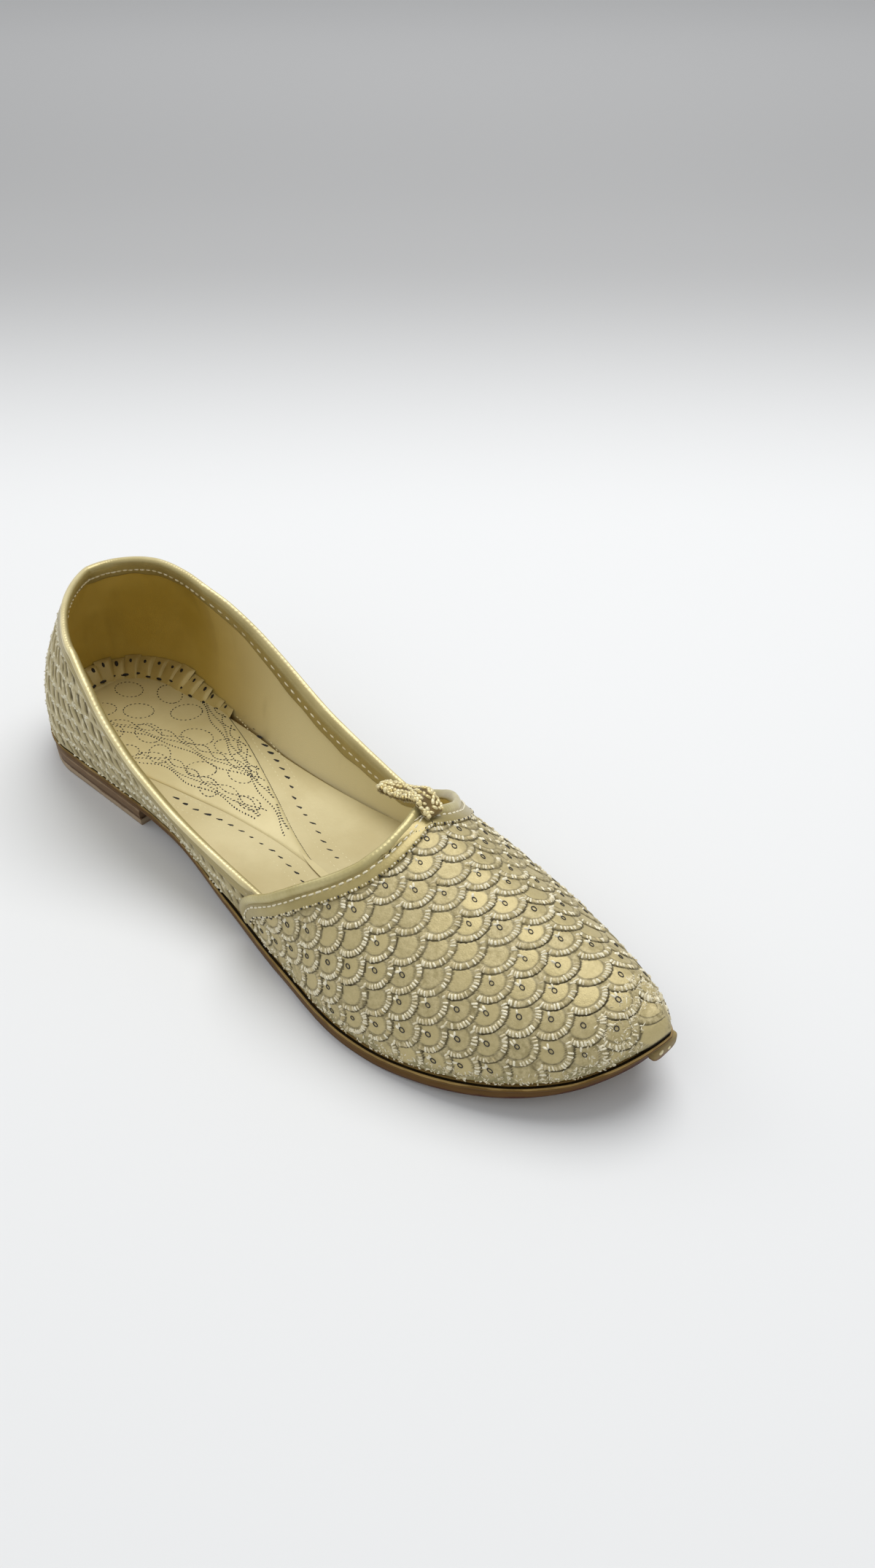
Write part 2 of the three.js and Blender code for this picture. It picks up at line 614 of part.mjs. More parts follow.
// Tab: a padded tongue of braid that lies over the band and points back into the throat
const TAB_CORNER = 0.55;
const TAB_SECTION = spaced(0, 1, 15).slice(0, -1).map((share) => {
  const turn = 2 * Math.PI * share;
  const power = (value) => Math.sign(value) * Math.abs(value) ** TAB_CORNER;
  return [power(Math.cos(turn)), power(Math.sin(turn))];
});
const TAB_ARCH = { drop: 1.6, half: 6 };
const TAB_END = { blunt: 0.15, round: 2.4, narrowest: 0.55 };
const tabStations = [165.2, 165.6, 166.8, 169, 172, 175, 178, 181, 184, 187, 189.2, 190.2, 190.6];
const tabLast = tabStations.length - 1;
function tabPoint(x, [across, up]) {
  const fromEnd = Math.min(x - tabStations[0], tabStations[tabLast] - x);
  const inside = clamp01((fromEnd + TAB_END.blunt) / TAB_END.round);
  const round = Math.sqrt(inside * (2 - inside));
  const y = across * tabTable.half(x) * (TAB_END.narrowest + (1 - TAB_END.narrowest) * round);
  const sag = TAB_ARCH.drop * (y / TAB_ARCH.half) ** 2;
  const z = tabTable.middle(x) + (up * tabTable.thick(x) * round) / 2 - sag;
  return new THREE.Vector3(x, tabTable.y(x) + y, z);
}
const tongueTab = sweep(TAB_SECTION, tabStations, tabPoint);

// Toe nose: a blunt fold of leather under the midsole's tip, in front of the outsole
const NOSE = { back: 276.2, half: 5.8, stepUp: 1.2, belowMidsole: 0.9 };
const noseStations = [NOSE.back, 277.2, 278.2, 279, 279.6, LENGTH];
const noseEdge = (x, side, out) => {
  const [px, py] = outlinePoint(x, side, out - WELT_EDGE);
  const half = Math.min(Math.abs(py - TIP_Y), NOSE.half + out);
  return [Math.max(NOSE.back, px), TIP_Y + side * half];
};
const toeNose = layer(
  noseStations, noseEdge,
  (x) => soleHeight.bottom(x) + NOSE.stepUp, (x) => jointAt(x) - NOSE.belowMidsole,
);

const shoe = new THREE.Group();
const pieces = [
  ['heel_top_lift', heelTopLift, COLOURS.heel],
  ['heel_block', heelBlock, COLOURS.heel],
  ['outsole', outsole, COLOURS.sole],
  ['midsole', midsole, COLOURS.edge],
  ['insole', insole, COLOURS.insole],
  ['insole_sock', sock, COLOURS.insole],
  ['upper', upper, COLOURS.brocade],
  ['collar_binding', collarBinding, COLOURS.foil],
  ['throat_band', throatBand, COLOURS.foil],
  ['tongue_tab', tongueTab, COLOURS.foil],
  ['toe_nose', toeNose, COLOURS.foil],
];
for (const [name, geometry, look] of pieces) {
  const mesh = new THREE.Mesh(geometry, new THREE.MeshStandardMaterial(look));
  mesh.name = name;
  shoe.add(mesh);
}
shoe.position.set(-HEEL_REST_X, -HEEL_CENTRE_Y, 0);

const part = new THREE.Group();
part.add(shoe);

export default part;
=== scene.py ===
"""A gold brocade mojari for the right foot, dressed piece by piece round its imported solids.

Shapes are worked out in millimetres in the shoe's own frame: x from the back of the heel to the
toe, y to the medial side, z up from the floor. They are put into the row frame, in metres, when
a mesh is made.
"""

import math

import bmesh
import bpy
import numpy as np
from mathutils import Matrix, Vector


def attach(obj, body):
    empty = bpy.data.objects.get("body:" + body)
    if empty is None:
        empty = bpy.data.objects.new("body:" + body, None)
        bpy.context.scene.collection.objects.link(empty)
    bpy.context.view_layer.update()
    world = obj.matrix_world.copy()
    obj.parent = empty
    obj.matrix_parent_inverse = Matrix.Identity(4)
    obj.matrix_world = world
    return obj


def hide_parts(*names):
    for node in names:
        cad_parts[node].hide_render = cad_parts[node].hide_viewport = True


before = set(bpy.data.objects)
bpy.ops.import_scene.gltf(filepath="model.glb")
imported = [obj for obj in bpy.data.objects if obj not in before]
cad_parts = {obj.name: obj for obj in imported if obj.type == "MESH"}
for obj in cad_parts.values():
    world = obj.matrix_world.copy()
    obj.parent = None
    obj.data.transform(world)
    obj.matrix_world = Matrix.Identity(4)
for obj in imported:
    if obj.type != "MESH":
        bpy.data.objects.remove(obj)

bl_info = {
    "name": "Brocade mojari",
    "version": (1, 0, 0),
    "blender": (4, 5, 0),
    "location": "View3D > Sidebar > Mojari",
    "description": "Builds the looks of a brocade mojari round its packed solids",
    "category": "Object",
}

BODY = "root"
MM = 0.001
HEEL_REST = np.array([38.0, 1.8, 0.0])
LATERAL, MEDIAL = -1, 1
AHEAD, ASIDE, UPWARD = (1.0, 0.0, 0.0), (0.0, 1.0, 0.0), (0.0, 0.0, 1.0)

# Driving dimensions of the last and of its leathers
LENGTH = 280.0
TIP_Y = 5.0
BALL_X = 198.0
HEEL_RADIUS = 30.0
HEEL_CENTRE_Y = 1.8
BREAST_X = 73.0
GAP = 0.3
VAMP_WALL = 2.0
QUARTER_WALL = 1.8
MIDSOLE_THICK = 1.2
INSOLE_THICK = 2.0
SOCK_RISE = 0.6
WELT_EDGE = 0.8
SOLE_FRONT = 275.6
MIDSOLE_FRONT = 279.2
INSOLE_FRONT = 266.0
LIFT_TOP = 3.0
HEEL_TURN = HEEL_RADIUS * math.pi / 2


def curve(table, column, key="x"):
    """Cubic through one column of a table that never overshoots its rows."""
    xs = np.array(table[key], float)
    ys = np.array(table[column], float)
    rise = np.diff(ys) / np.diff(xs)
    product = rise[:-1] * rise[1:]
    total = np.where(product > 0, rise[:-1] + rise[1:], 1.0)
    slopes = np.concatenate([rise[:1], np.where(product > 0, 2 * product / total, 0.0), rise[-1:]])

    def at(x):
        x = np.clip(np.asarray(x, float), xs[0], xs[-1])
        i = np.clip(np.searchsorted(xs, x, side="left") - 1, 0, len(xs) - 2)
        width = xs[i + 1] - xs[i]
        t = (x - xs[i]) / width
        hold = (1 + 2 * t) * (1 - t) ** 2 * ys[i] + t * t * (3 - 2 * t) * ys[i + 1]
        return hold + width * (t * (1 - t) ** 2 * slopes[i] - t * t * (1 - t) * slopes[i + 1])

    return at


def curves(table, key="x"):
    """Every column of a table as a curve."""
    return {name: curve(table, name, key) for name in table if name != key}


# Half widths of the sole on either side
SOLE = curves({
    "x": (15, 30, 60, 90, 130, 165, 198, 212),
    "lateral": (28.4, 28.4, 28.6, 29.2, 36.0, 43.4, 48.6, 48.6),
    "medial": (30.0, 30.0, 28.5, 27.0, 31.5, 38.8, 42.5, 42.5),
})
# Underside of the sole over the floor, and its thickness
SOLE_HEIGHT = curves({
    "x": (0, 60, 74, 95, 125, 150, 162, 208, 230, 250, 265, 272, 280),
    "bottom": (7.6, 7.6, 7.6, 6.0, 2.2, 0.3, 0.0, 0.0, 2.0, 5.2, 9.0, 11.6, 14.5),
    "thick": (3.7, 3.7, 3.7, 3.8, 4.2, 4.6, 4.8, 5.0, 5.0, 5.0, 5.3, 6.6, 9.6),
})
# Powers of the superellipse round the toe, lateral and medial
TOE_ALONG = (1.9, 1.65)
TOE_ACROSS = (0.57, 0.75)
# How far the foot of the upper is set in from the edge of the sole
FOOT = curves({"x": (0, 110, 150, 280), "tuck": (0.0, 0.2, 0.8, 0.8)})
# Height of the ridge, and the swell and power of the ribs on either side of it
VAMP = curves({
    "x": (140, 155, 183, 205, 230, 250, 265, 272, 280),
    "ridge": (70.0, 64.5, 55.2, 49.2, 43.5, 39.0, 35.4, 31.6, 31.6),
    "lateral_swell": (9.0, 5.0, 1.6, 1.0, 1.0, 0.8, 0.5, 0.2, 0.0),
    "medial_swell": (10.0, 6.5, 0.8, 0.0, 0.0, 0.0, 0.0, 0.0, 0.0),
    "lateral_fall": (1.0,) * 9,
    "medial_fall": (1.25, 1.3, 1.35, 1.35, 1.33, 1.25, 1.12, 1.05, 1.0),
})
# The ridge sits back from the tip and swings to the medial side
RIDGE_SETBACK = 8.0
SETBACK_FROM = 200.0
RIDGE_SWING = 4.5
# Station of the throat's edge for an angle up from the foot
THROAT = curve({
    "angle": (0, 8, 14, 28, 41, 49, 55, 62, 73, 81, 90),
    "x": (147.0, 144.5, 147.0, 161.5, 172.5, 178.4, 182.0, 185.0, 186.8, 186.4, 184.5),
}, "x", "angle")
# Height of the collar and half widths of the quarter at its rim
QUARTER = curves({
    "x": (50, 60, 75, 90, 110, 130, 145, 166),
    "collar": (65.0, 59.0, 48.8, 39.3, 29.8, 24.8, 22.3, 19.5),
    "lateral": (30.0, 33.0, 36.2, 37.3, 37.2, 37.2, 37.4, 38.2),
    "medial": (28.4, 32.0, 35.2, 36.3, 36.2, 35.2, 34.2, 34.2),
})
# How far the quarter swells between foot and rim, and how far its foot is set in
QUARTER_SHAPE = curves({
    "x": (0, 25, 45, 60, 80, 110, 135, 150, 166),
    "swell": (3.6, 4.8, 4.2, 3.0, 1.2, 0.6, 0.3, 0.0, 0.0),
    "tuck": (0.0, 0.0, 0.0, 0.0, 0.0, 0.0, 0.4, 1.2, 1.2),
})
QUARTER_FRONT_X = 166.0
# Round of the collar at the back: its rearmost point, where it ends and its powers
COLLAR_BACK_X = 10.2
COLLAR_BACK_Y = 5.2
COLLAR_BACK_UNTIL = 50.0
COLLAR_ROUND = (1.32, 2.2)
COLLAR_BACK_HEIGHT = curve({"x": (10, 28, 40, 50), "collar": (66.0, 68.0, 66.8, 65.0)}, "collar")
# Sides of the pointed sock, its rearmost point, where its round end stops, and its tip
SOCK = curves({
    "x": (34, 50, 64, 78, 107, 128, 140, 148),
    "lateral": (-21.5, -21.0, -19.4, -16.6, -9.6, -6.6, -6.4, -6.9),
    "medial": (27.6, 27.2, 23.2, 18.6, 7.2, -1.4, -5.0, -6.3),
})
SOCK_BACK_X = 8.5
SOCK_ROUND_X = 34.0
SOCK_TIP_X = 148.0
# Bowed middle line of the tab, with its half width and thickness
TAB = curves({
    "x": (166.0, 172.0, 178.0, 184.0, 190.0),
    "y": (2.9, 3.8, 3.4, 2.4, 1.6),
    "middle": (52.4, 53.4, 55.9, 59.1, 58.2),
    "half": (3.2, 4.2, 4.6, 4.8, 4.4),
    "thick": (2.8, 3.0, 3.0, 2.8, 2.2),
})
TAB_BACK_X = 165.2
TAB_FRONT_X = 190.6


# Form of the last

def clamp01(value):
    """Nothing below 0 or over 1."""
    return np.clip(value, 0.0, 1.0)


def smooth(value, low, high):
    """Smooth step from 0 at low to 1 at high."""
    t = clamp01((value - low) / (high - low))
    return t * t * (3 - 2 * t)


def by_side(side, lateral, medial):
    """One value on the lateral side and the other on the medial side."""
    return np.where(np.asarray(side) < 0, lateral, medial)


def at_side(table, x, side, kind=""):
    """A table's lateral or medial column at a station, by the side."""
    return by_side(side, table["lateral" + kind](x), table["medial" + kind](x))


def sole_top(x):
    """Top of the sole: its underside and its thickness together."""
    return SOLE_HEIGHT["bottom"](x) + SOLE_HEIGHT["thick"](x)


def foot_height(x):
    """Height of the foot of the upper: a gap over the sole."""
    return sole_top(x) + GAP


def outline_y(x, side):
    """Edge of the sole: a quarter circle at the heel and a quarter superellipse at the toe."""
    full = side * at_side(SOLE, x, side)
    back = clamp01((HEEL_RADIUS - x) / HEEL_RADIUS)
    heel = HEEL_CENTRE_Y + (full - HEEL_CENTRE_Y) * np.sqrt(1 - back * back)
    t = clamp01((x - BALL_X) / (LENGTH - BALL_X))
    along, across = by_side(side, *TOE_ALONG), by_side(side, *TOE_ACROSS)
    toe = TIP_Y + (full - TIP_Y) * (1 - t ** along) ** across
    return np.where(x < HEEL_RADIUS, heel, np.where(x > BALL_X, toe, full))


def outline_normal(x, side):
    """Outward direction of the sole's edge, level with the floor."""
    step = np.clip(np.minimum(x, LENGTH - x) / 4, 1e-7, 0.05)
    inside = np.clip(x, 2 * step, LENGTH - 2 * step)
    slope = (outline_y(inside + step, side) - outline_y(inside - step, side)) / (2 * step)
    size = np.hypot(1, slope)
    end = np.where(x <= 0, -1.0, np.where(x >= LENGTH, 1.0, 0.0))
    nx = np.where(end == 0, -side * slope / size, end)
    ny = np.where(end == 0, side / size, 0.0)
    return nx, ny


def outline_point(x, side, offset):
    """Point of the sole's edge, moved out square to it."""
    nx, ny = outline_normal(x, side)
    return x + nx * offset, outline_y(x, side) + ny * offset


def ridge_point(x, offset):
    """Point of the ridge: setback and swing grow with a power of the way to the tip."""
    setback = RIDGE_SETBACK * clamp01((x - SETBACK_FROM) / (LENGTH - SETBACK_FROM)) ** 3
    to_tip = clamp01((x - BALL_X) / (LENGTH - BALL_X))
    back = x - setback
    return back + offset * to_tip ** 3, RIDGE_SWING * to_tip ** 1.5, VAMP["ridge"](back) + offset


def vamp_point(x, turn, offset=0.0):
    """Face of the vamp: at station x a rib climbs from the lateral foot (turn 0) over the
    ridge (turn 90) to the medial foot (turn 180), as a superellipse with a swell."""
    side = np.where(turn <= 90, LATERAL, MEDIAL)
    radians = np.radians(90 - np.abs(turn - 90))
    px, py = outline_point(x, side, offset - FOOT["tuck"](x))
    rx, ry, rz = ridge_point(x, offset)
    fall = at_side(VAMP, x, side, "_fall")
    across = np.maximum(0, np.cos(radians)) ** fall
    up = np.maximum(0, np.sin(radians)) ** fall
    swell = side * at_side(VAMP, x, side, "_swell") * np.sin(2 * radians)
    low = foot_height(x)
    return np.stack(np.broadcast_arrays(
        rx + (px - rx) * across,
        ry + (py - ry) * across + swell,
        low + (rz - low) * up), -1)


def throat_x(turn):
    """Station of the throat's edge, the same on both sides."""
    return THROAT(90 - np.abs(turn - 90))


def run_place(run):
    """Station and side for a distance along the quarter: 0 at the back of the heel,
    minus to the lateral side and plus to the medial side."""
    far = np.abs(run)
    around = HEEL_RADIUS * (1 - np.cos(np.minimum(far, HEEL_TURN) / HEEL_RADIUS))
    x = np.where(far < HEEL_TURN, around, HEEL_RADIUS + far - HEEL_TURN)
    return x, np.where(run < 0, LATERAL, MEDIAL)


def run_at(x):
    """Distance along the quarter of a station in front of the heel's round."""
    return HEEL_TURN + x - HEEL_RADIUS


def collar_point(x, side):
    """Rim of the quarter: straight sides, and a quarter of a superellipse round the back."""
    reach = COLLAR_BACK_UNTIL - COLLAR_BACK_X
    cx = COLLAR_BACK_X + reach * np.minimum(x, COLLAR_BACK_UNTIL) / COLLAR_BACK_UNTIL
    power = by_side(side, *COLLAR_ROUND)
    ahead = at_side(QUARTER, COLLAR_BACK_UNTIL, side)
    share = np.maximum(0, 1 - ((COLLAR_BACK_UNTIL - cx) / reach) ** power) ** (1 / power)
    y = COLLAR_BACK_Y + (side * ahead - COLLAR_BACK_Y) * share
    front = x >= COLLAR_BACK_UNTIL
    straight = side * at_side(QUARTER, x, side)
    return (np.where(front, x, cx), np.where(front, straight, y),
            np.where(front, QUARTER["collar"](x), COLLAR_BACK_HEIGHT(cx)))


def quarter_point(run, rise, offset=0.0):
    """Face of the quarter: rise 0 is its foot and 1 the collar's rim, with a sine swell."""
    x, side = run_place(run)
    nx, ny = outline_normal(x, side)
    fx, fy = outline_point(x, side, -FOOT["tuck"](x) - QUARTER_SHAPE["tuck"](x))
    cx, cy, cz = collar_point(x, side)
    swell = QUARTER_SHAPE["swell"](x) * np.sin(np.pi * clamp01(rise)) + offset
    low = foot_height(x)
    return np.stack(np.broadcast_arrays(
        fx + (cx - fx) * rise + nx * swell,
        fy + (cy - fy) * rise + ny * swell,
        low + (cz - low) * rise), -1)


def wall_height(run):
    """Height of the quarter from its foot to the rim."""
    x, side = run_place(run)
    return collar_point(x, side)[2] - foot_height(x)


def unit(vectors):
    """The same directions at length 1."""
    return vectors / np.maximum(np.linalg.norm(vectors, axis=-1, keepdims=True), 1e-12)


def dot(a, b):
    """Dot product, kept as a column."""
    return (a * b).sum(-1, keepdims=True)


# Meshes

def lattice(first, second):
    """Every pair of two lists of values, as two grids."""
    return np.meshgrid(first, second, indexing="ij")


def full_turn(count):
    """Even angles of a whole turn."""
    return np.linspace(0, 2 * np.pi, count + 1)[:-1]


def reach_along(points):
    """Distance along a line of points."""
    return np.concatenate([[0], np.cumsum(np.linalg.norm(np.diff(points, axis=0), axis=1))])


def repeated(direction, count):
    """One direction for each of many copies."""
    return np.tile(direction, (count, 1))


def grid_faces(rows, columns, close_rows=False, close_columns=False):
    """Quads of a grid of points, row by row, closed round where asked."""
    r = np.arange(rows if close_rows else rows - 1)[:, None]
    c = np.arange(columns if close_columns else columns - 1)[None, :]
    right = (c + 1) % columns
    below = (r + 1) % rows
    quads = [r * columns + c, r * columns + right, below * columns + right, below * columns + c]
    return np.stack(np.broadcast_arrays(*quads), -1).reshape(-1, 4)


def grid_normals(points, inside):
    """Cross product of the grid's two directions at each point, turned away from a point inside."""
    normals = unit(np.cross(np.gradient(points, axis=0), np.gradient(points, axis=1)))
    if np.median((normals * (points - np.asarray(inside))).sum(-1)) < 0:
        normals = -normals
    return normals


def shades(count, template, seed):
    """A seeded shade for each of many stitches, repeated over the points of its template."""
    return {"shade": np.repeat(np.random.default_rng(seed).beta(3.0, 1.6, count), len(template[0]))}


def make_piece(name, points, faces, material,
               replaces=(), inside=None, attributes=None, crease=None):
    """A mesh object in the row frame from points in millimetres. Equal points are joined, and
    faces are turned away from a point inside, or else from the middle of the mesh."""
    flat = np.asarray(points, float).reshape(-1, 3)
    mesh = bpy.data.meshes.new(name)
    mesh.from_pydata(((flat - HEEL_REST) * MM).tolist(), [], [list(map(int, f)) for f in faces])
    for key, values in (attributes or {}).items():
        layer = mesh.attributes.new(key, "FLOAT", "POINT")
        layer.data.foreach_set("value", np.asarray(values, np.float32).ravel())
    work = bmesh.new()
    work.from_mesh(mesh)
    bmesh.ops.remove_doubles(work, verts=work.verts, dist=1e-6)
    bmesh.ops.dissolve_degenerate(work, dist=1e-7, edges=work.edges)
    work.to_mesh(mesh)
    work.free()
    centres = np.empty(len(mesh.polygons) * 3)
    mesh.polygons.foreach_get("center", centres)
    normals = np.empty(len(mesh.polygons) * 3)
    mesh.polygons.foreach_get("normal", normals)
    areas = np.empty(len(mesh.polygons))
    mesh.polygons.foreach_get("area", areas)
    centres = centres.reshape(-1, 3)
    away = centres - (centres.mean(0) if inside is None else (np.asarray(inside) - HEEL_REST) * MM)
    if ((normals.reshape(-1, 3) * away).sum(1) * areas).sum() < 0:
        mesh.flip_normals()
    mesh.polygons.foreach_set("use_smooth", [True] * len(mesh.polygons))
    if crease is not None:
        mesh.set_sharp_from_angle(angle=math.radians(crease))
    mesh.materials.append(material)
    mesh.update()
    piece = bpy.data.objects.new(name, mesh)
    bpy.context.scene.collection.objects.link(piece)
    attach(piece, BODY)
    if replaces:
        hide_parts(*replaces)
    return piece


def shell(outer, inner):
    """Closed wall between two grids of the same size: both faces and the four rims."""
    rows, columns = outer.shape[:2]
    layer = rows * columns
    front = grid_faces(rows, columns)
    back = front[:, ::-1] + layer
    index = np.arange(layer).reshape(rows, columns)
    rims = []
    for line, flip in ((index[0], False), (index[-1], True), (index[:, 0], True), (index[:, -1], False)):
        quads = np.stack([line[:-1], line[1:], line[1:] + layer, line[:-1] + layer], -1)
        rims.append(quads[:, ::-1] if not flip else quads)
    points = np.concatenate([outer.reshape(-1, 3), inner.reshape(-1, 3)])
    return points, np.concatenate([front, back, *rims])


def sweep(rings):
    """Closed tube through rings of points, its ends closed by a fan from their middle."""
    steps, size = rings.shape[:2]
    middles = rings[[0, -1]].mean(1)
    points = np.concatenate([rings.reshape(-1, 3), middles])
    faces = [tuple(f) for f in grid_faces(steps, size, close_columns=True)]
    k = np.arange(size)
    after = (k + 1) % size
    base = steps * size
    faces += list(zip(after, k, [base] * size))
    last = (steps - 1) * size
    faces += list(zip(last + k, last + after, [base + 1] * size))
    return points, faces


def scatter(template, origins, along, across, up, scale=None):
    """Copies of a small template, one at each origin, on its three directions."""
    spots, faces = template
    count = len(origins)
    size = np.ones((count, 3)) if scale is None else np.asarray(scale, float)
    spread = [spots[None, :, i, None] * size[:, None, i, None] * axis[:, None, :]
              for i, axis in enumerate((along, across, up))]
    points = origins[:, None, :] + sum(spread)
    base = np.arange(count)[:, None, None] * len(spots)
    copies = (base + faces[None]).reshape(-1, faces.shape[1])
    return points.reshape(-1, 3), copies


def join_parts(parts):
    """One list of points and faces from several."""
    points, faces, base = [], [], 0
    for some_points, some_faces in parts:
        points.append(some_points)
        faces += [tuple(int(i) + base for i in f) for f in some_faces]
        base += len(some_points)
    return np.concatenate(points), faces


def pillow(length, width, height, power=2.6, cells=(4, 3)):
    """A small cushion over a rectangle: height falls to its border as 1 minus a power, its
    corners are drawn in, and its border lies a little under the surface."""
    u, v = lattice(np.linspace(-1, 1, cells[0] + 1), np.linspace(-1, 1, cells[1] + 1))
    rise = (1 - np.abs(u) ** power) * (1 - np.abs(v) ** power)
    pull = 1 - 0.18 * (u * v) ** 2
    level = height * rise - 0.25 * height * (rise == 0)
    spots = np.stack([u * pull * length / 2, v * pull * width / 2, level], -1)
    return spots.reshape(-1, 3), grid_faces(cells[0] + 1, cells[1] + 1)


def dome(radius, height, sectors=8, rings=3):
    """Upper half of an ellipsoid and a little more, its last ring drawn together at the top."""
    lift, turn = lattice(np.linspace(-0.35, np.pi / 2, rings + 1), full_turn(sectors))
    spots = np.stack([radius * np.cos(lift) * np.cos(turn), radius * np.cos(lift) * np.sin(turn),
                      height * np.sin(lift)], -1)
    return spots.reshape(-1, 3), grid_faces(rings + 1, sectors, close_columns=True)


def ring(radius, thick, sectors=10, sides=5):
    """A small torus lying on the surface."""
    turn, roll = lattice(full_turn(sectors), full_turn(sides))
    out = radius + thick * np.cos(roll)
    spots = np.stack([out * np.cos(turn), out * np.sin(turn), thick * np.sin(roll)], -1)
    return spots.reshape(-1, 3), grid_faces(sectors, sides, close_rows=True, close_columns=True)


# Materials

def node(tree, kind, inputs=None, **settings):
    """A node with its settings, and values or links on its sockets."""
    made = tree.nodes.new(kind)
    for key, value in settings.items():
        setattr(made, key, value)
    for key, value in (inputs or {}).items():
        socket = made.inputs[key]
        if isinstance(value, bpy.types.NodeSocket):
            tree.links.new(value, socket)
        else:
            socket.default_value = value
    return made


def new_material(name, metallic=0.0, roughness=0.5, coat=0.0, coat_roughness=0.2, sheen=0.0):
    """A material with its tree, its shader and the place on the object, in metres."""
    made = bpy.data.materials.new(name)
    made.use_nodes = True
    shader = made.node_tree.nodes["Principled BSDF"]
    shader.inputs["Metallic"].default_value = metallic
    shader.inputs["Roughness"].default_value = roughness
    shader.inputs["Coat Weight"].default_value = coat
    shader.inputs["Coat Roughness"].default_value = coat_roughness
    shader.inputs["Sheen Weight"].default_value = sheen
    place = node(made.node_tree, "ShaderNodeTexCoord").outputs["Object"]
    return made, made.node_tree, shader, place


def rgba(colour):
    """The colour with full cover."""
    return (*colour, 1.0)


def darker(colour, strength):
    """The colour at a share of its strength."""
    return tuple(strength * c for c in colour)


def noise(tree, place, per_metre, detail=3.0, roughness=0.55, stretch=None):
    """Soft noise of so many lumps a metre, stretched where asked."""
    if stretch is not None:
        place = node(tree, "ShaderNodeMapping", {"Vector": place, "Scale": stretch}).outputs["Vector"]
    made = node(tree, "ShaderNodeTexNoise", {
        "Vector": place, "Scale": per_metre, "Detail": detail, "Roughness": roughness})
    return made.outputs["Fac"]


def attribute(tree, name):
    """Value that a piece keeps at its points."""
    return node(tree, "ShaderNodeAttribute", attribute_name=name).outputs["Fac"]


def fading(tree, name):
    """One less an attribute."""
    return sums(tree, "SUBTRACT", 1.0, attribute(tree, name))


def spread(tree, value, low, high, to_low=0.0, to_high=1.0):
    """Smooth step of a value from low to high."""
    made = node(tree, "ShaderNodeMapRange", {
        "Value": value, "From Min": low, "From Max": high, "To Min": to_low, "To Max": to_high},
        interpolation_type="SMOOTHSTEP")
    return made.outputs["Result"]


def blend(tree, share, first, second):
    """The first colour at share 0 and the second at 1."""
    made = node(tree, "ShaderNodeMix", data_type="RGBA")
    for socket, value in ((made.inputs[0], share), (made.inputs[6], first), (made.inputs[7], second)):
        if isinstance(value, bpy.types.NodeSocket):
            tree.links.new(value, socket)
        else:
            socket.default_value = rgba(value) if isinstance(value, (tuple, list)) else value
    return made.outputs[2]


def sums(tree, operation, first, second):
    """One operation on two values."""
    made = node(tree, "ShaderNodeMath", operation=operation)
    for socket, value in zip(made.inputs, (first, second)):
        if isinstance(value, bpy.types.NodeSocket):
            tree.links.new(value, socket)
        else:
            socket.default_value = value
    return made.outputs[0]


def feed(shader, name, value):
    """Links a value to the shader's socket of that name."""
    shader.id_data.links.new(value, shader.inputs[name])


def relief(tree, shader, height, distance, strength=1.0):
    """Bump from a height, so many metres deep."""
    made = node(tree, "ShaderNodeBump", {"Height": height, "Distance": distance, "Strength": strength})
    feed(shader, "Normal", made.outputs["Normal"])


def srgb(red, green, blue):
    """Linear colour from eight-bit display values."""
    return tuple(((c / 255 + 0.055) / 1.055) ** 2.4 for c in (red, green, blue))


FOIL_LOW = srgb(190, 174, 122)
FOIL_HIGH = srgb(206, 190, 140)
CLOTH_LOW = srgb(146, 132, 88)
CLOTH_HIGH = srgb(204, 190, 146)
FUZZ = srgb(158, 148, 106)
# Dark of the painted shade in the brocade's dips and at its foot, and in the gaps between sole pieces
CREVICE_SHADE = srgb(24, 16, 4)
# Dark of the painted shade in the quarter's slits and along its foot
SLIT_SHADE = srgb(44, 34, 14)
THREAD = srgb(190, 170, 112)
THREAD_WHITE = srgb(250, 243, 216)
LINING_LOW = srgb(186, 158, 66)
LINING_HIGH = srgb(206, 180, 92)
# Painted light on the lining's medial wall, paler toward the toe
LINING_PAINTED_LIGHT = srgb(232, 221, 176)
STRIP_FLAT = (srgb(148, 132, 78), srgb(184, 168, 112))
STRIP_ROLLED = (srgb(206, 188, 130), srgb(240, 228, 182))
INSOLE = (srgb(204, 190, 142), srgb(190, 174, 124))
SOCK_TOP = (srgb(212, 198, 148), srgb(196, 180, 128))
# Dark of painted shade in holes, slits and gaps, also given to the knots' rings and the sock's stitches
HOLE_SHADE = srgb(26, 18, 5)
TWILL = (srgb(158, 144, 100), srgb(200, 186, 142))
TWILL_RIB = srgb(232, 222, 186)
CRUMPLED = srgb(196, 184, 140)
KNOT = (srgb(190, 176, 132), srgb(250, 244, 216))
PIPING = (srgb(170, 155, 92), srgb(212, 200, 148))
BRAID = (srgb(204, 180, 104), srgb(248, 236, 190))
TAB_PAD = (srgb(132, 108, 52), srgb(82, 62, 22))
PLEAT = (srgb(208, 188, 122), srgb(170, 148, 84))
INSOLE_THREAD = (srgb(196, 182, 130), srgb(228, 218, 174))
NOSE_THREAD = (srgb(206, 186, 128), srgb(238, 226, 180))
# Leather edges at their foot, middle and top
OUTSOLE_EDGE = (srgb(66, 24, 8), srgb(98, 68, 24), srgb(110, 82, 34))
MIDSOLE_EDGE = (srgb(50, 32, 10), srgb(104, 76, 30), srgb(168, 140, 86))
HEEL_STACK = (srgb(96, 72, 50), srgb(118, 94, 68), srgb(148, 124, 94))
HEEL_LIFT = (srgb(150, 130, 106), srgb(170, 150, 124), srgb(116, 92, 68))
NOSE_LEATHER = (srgb(96, 46, 26), srgb(142, 122, 76), srgb(158, 138, 90))


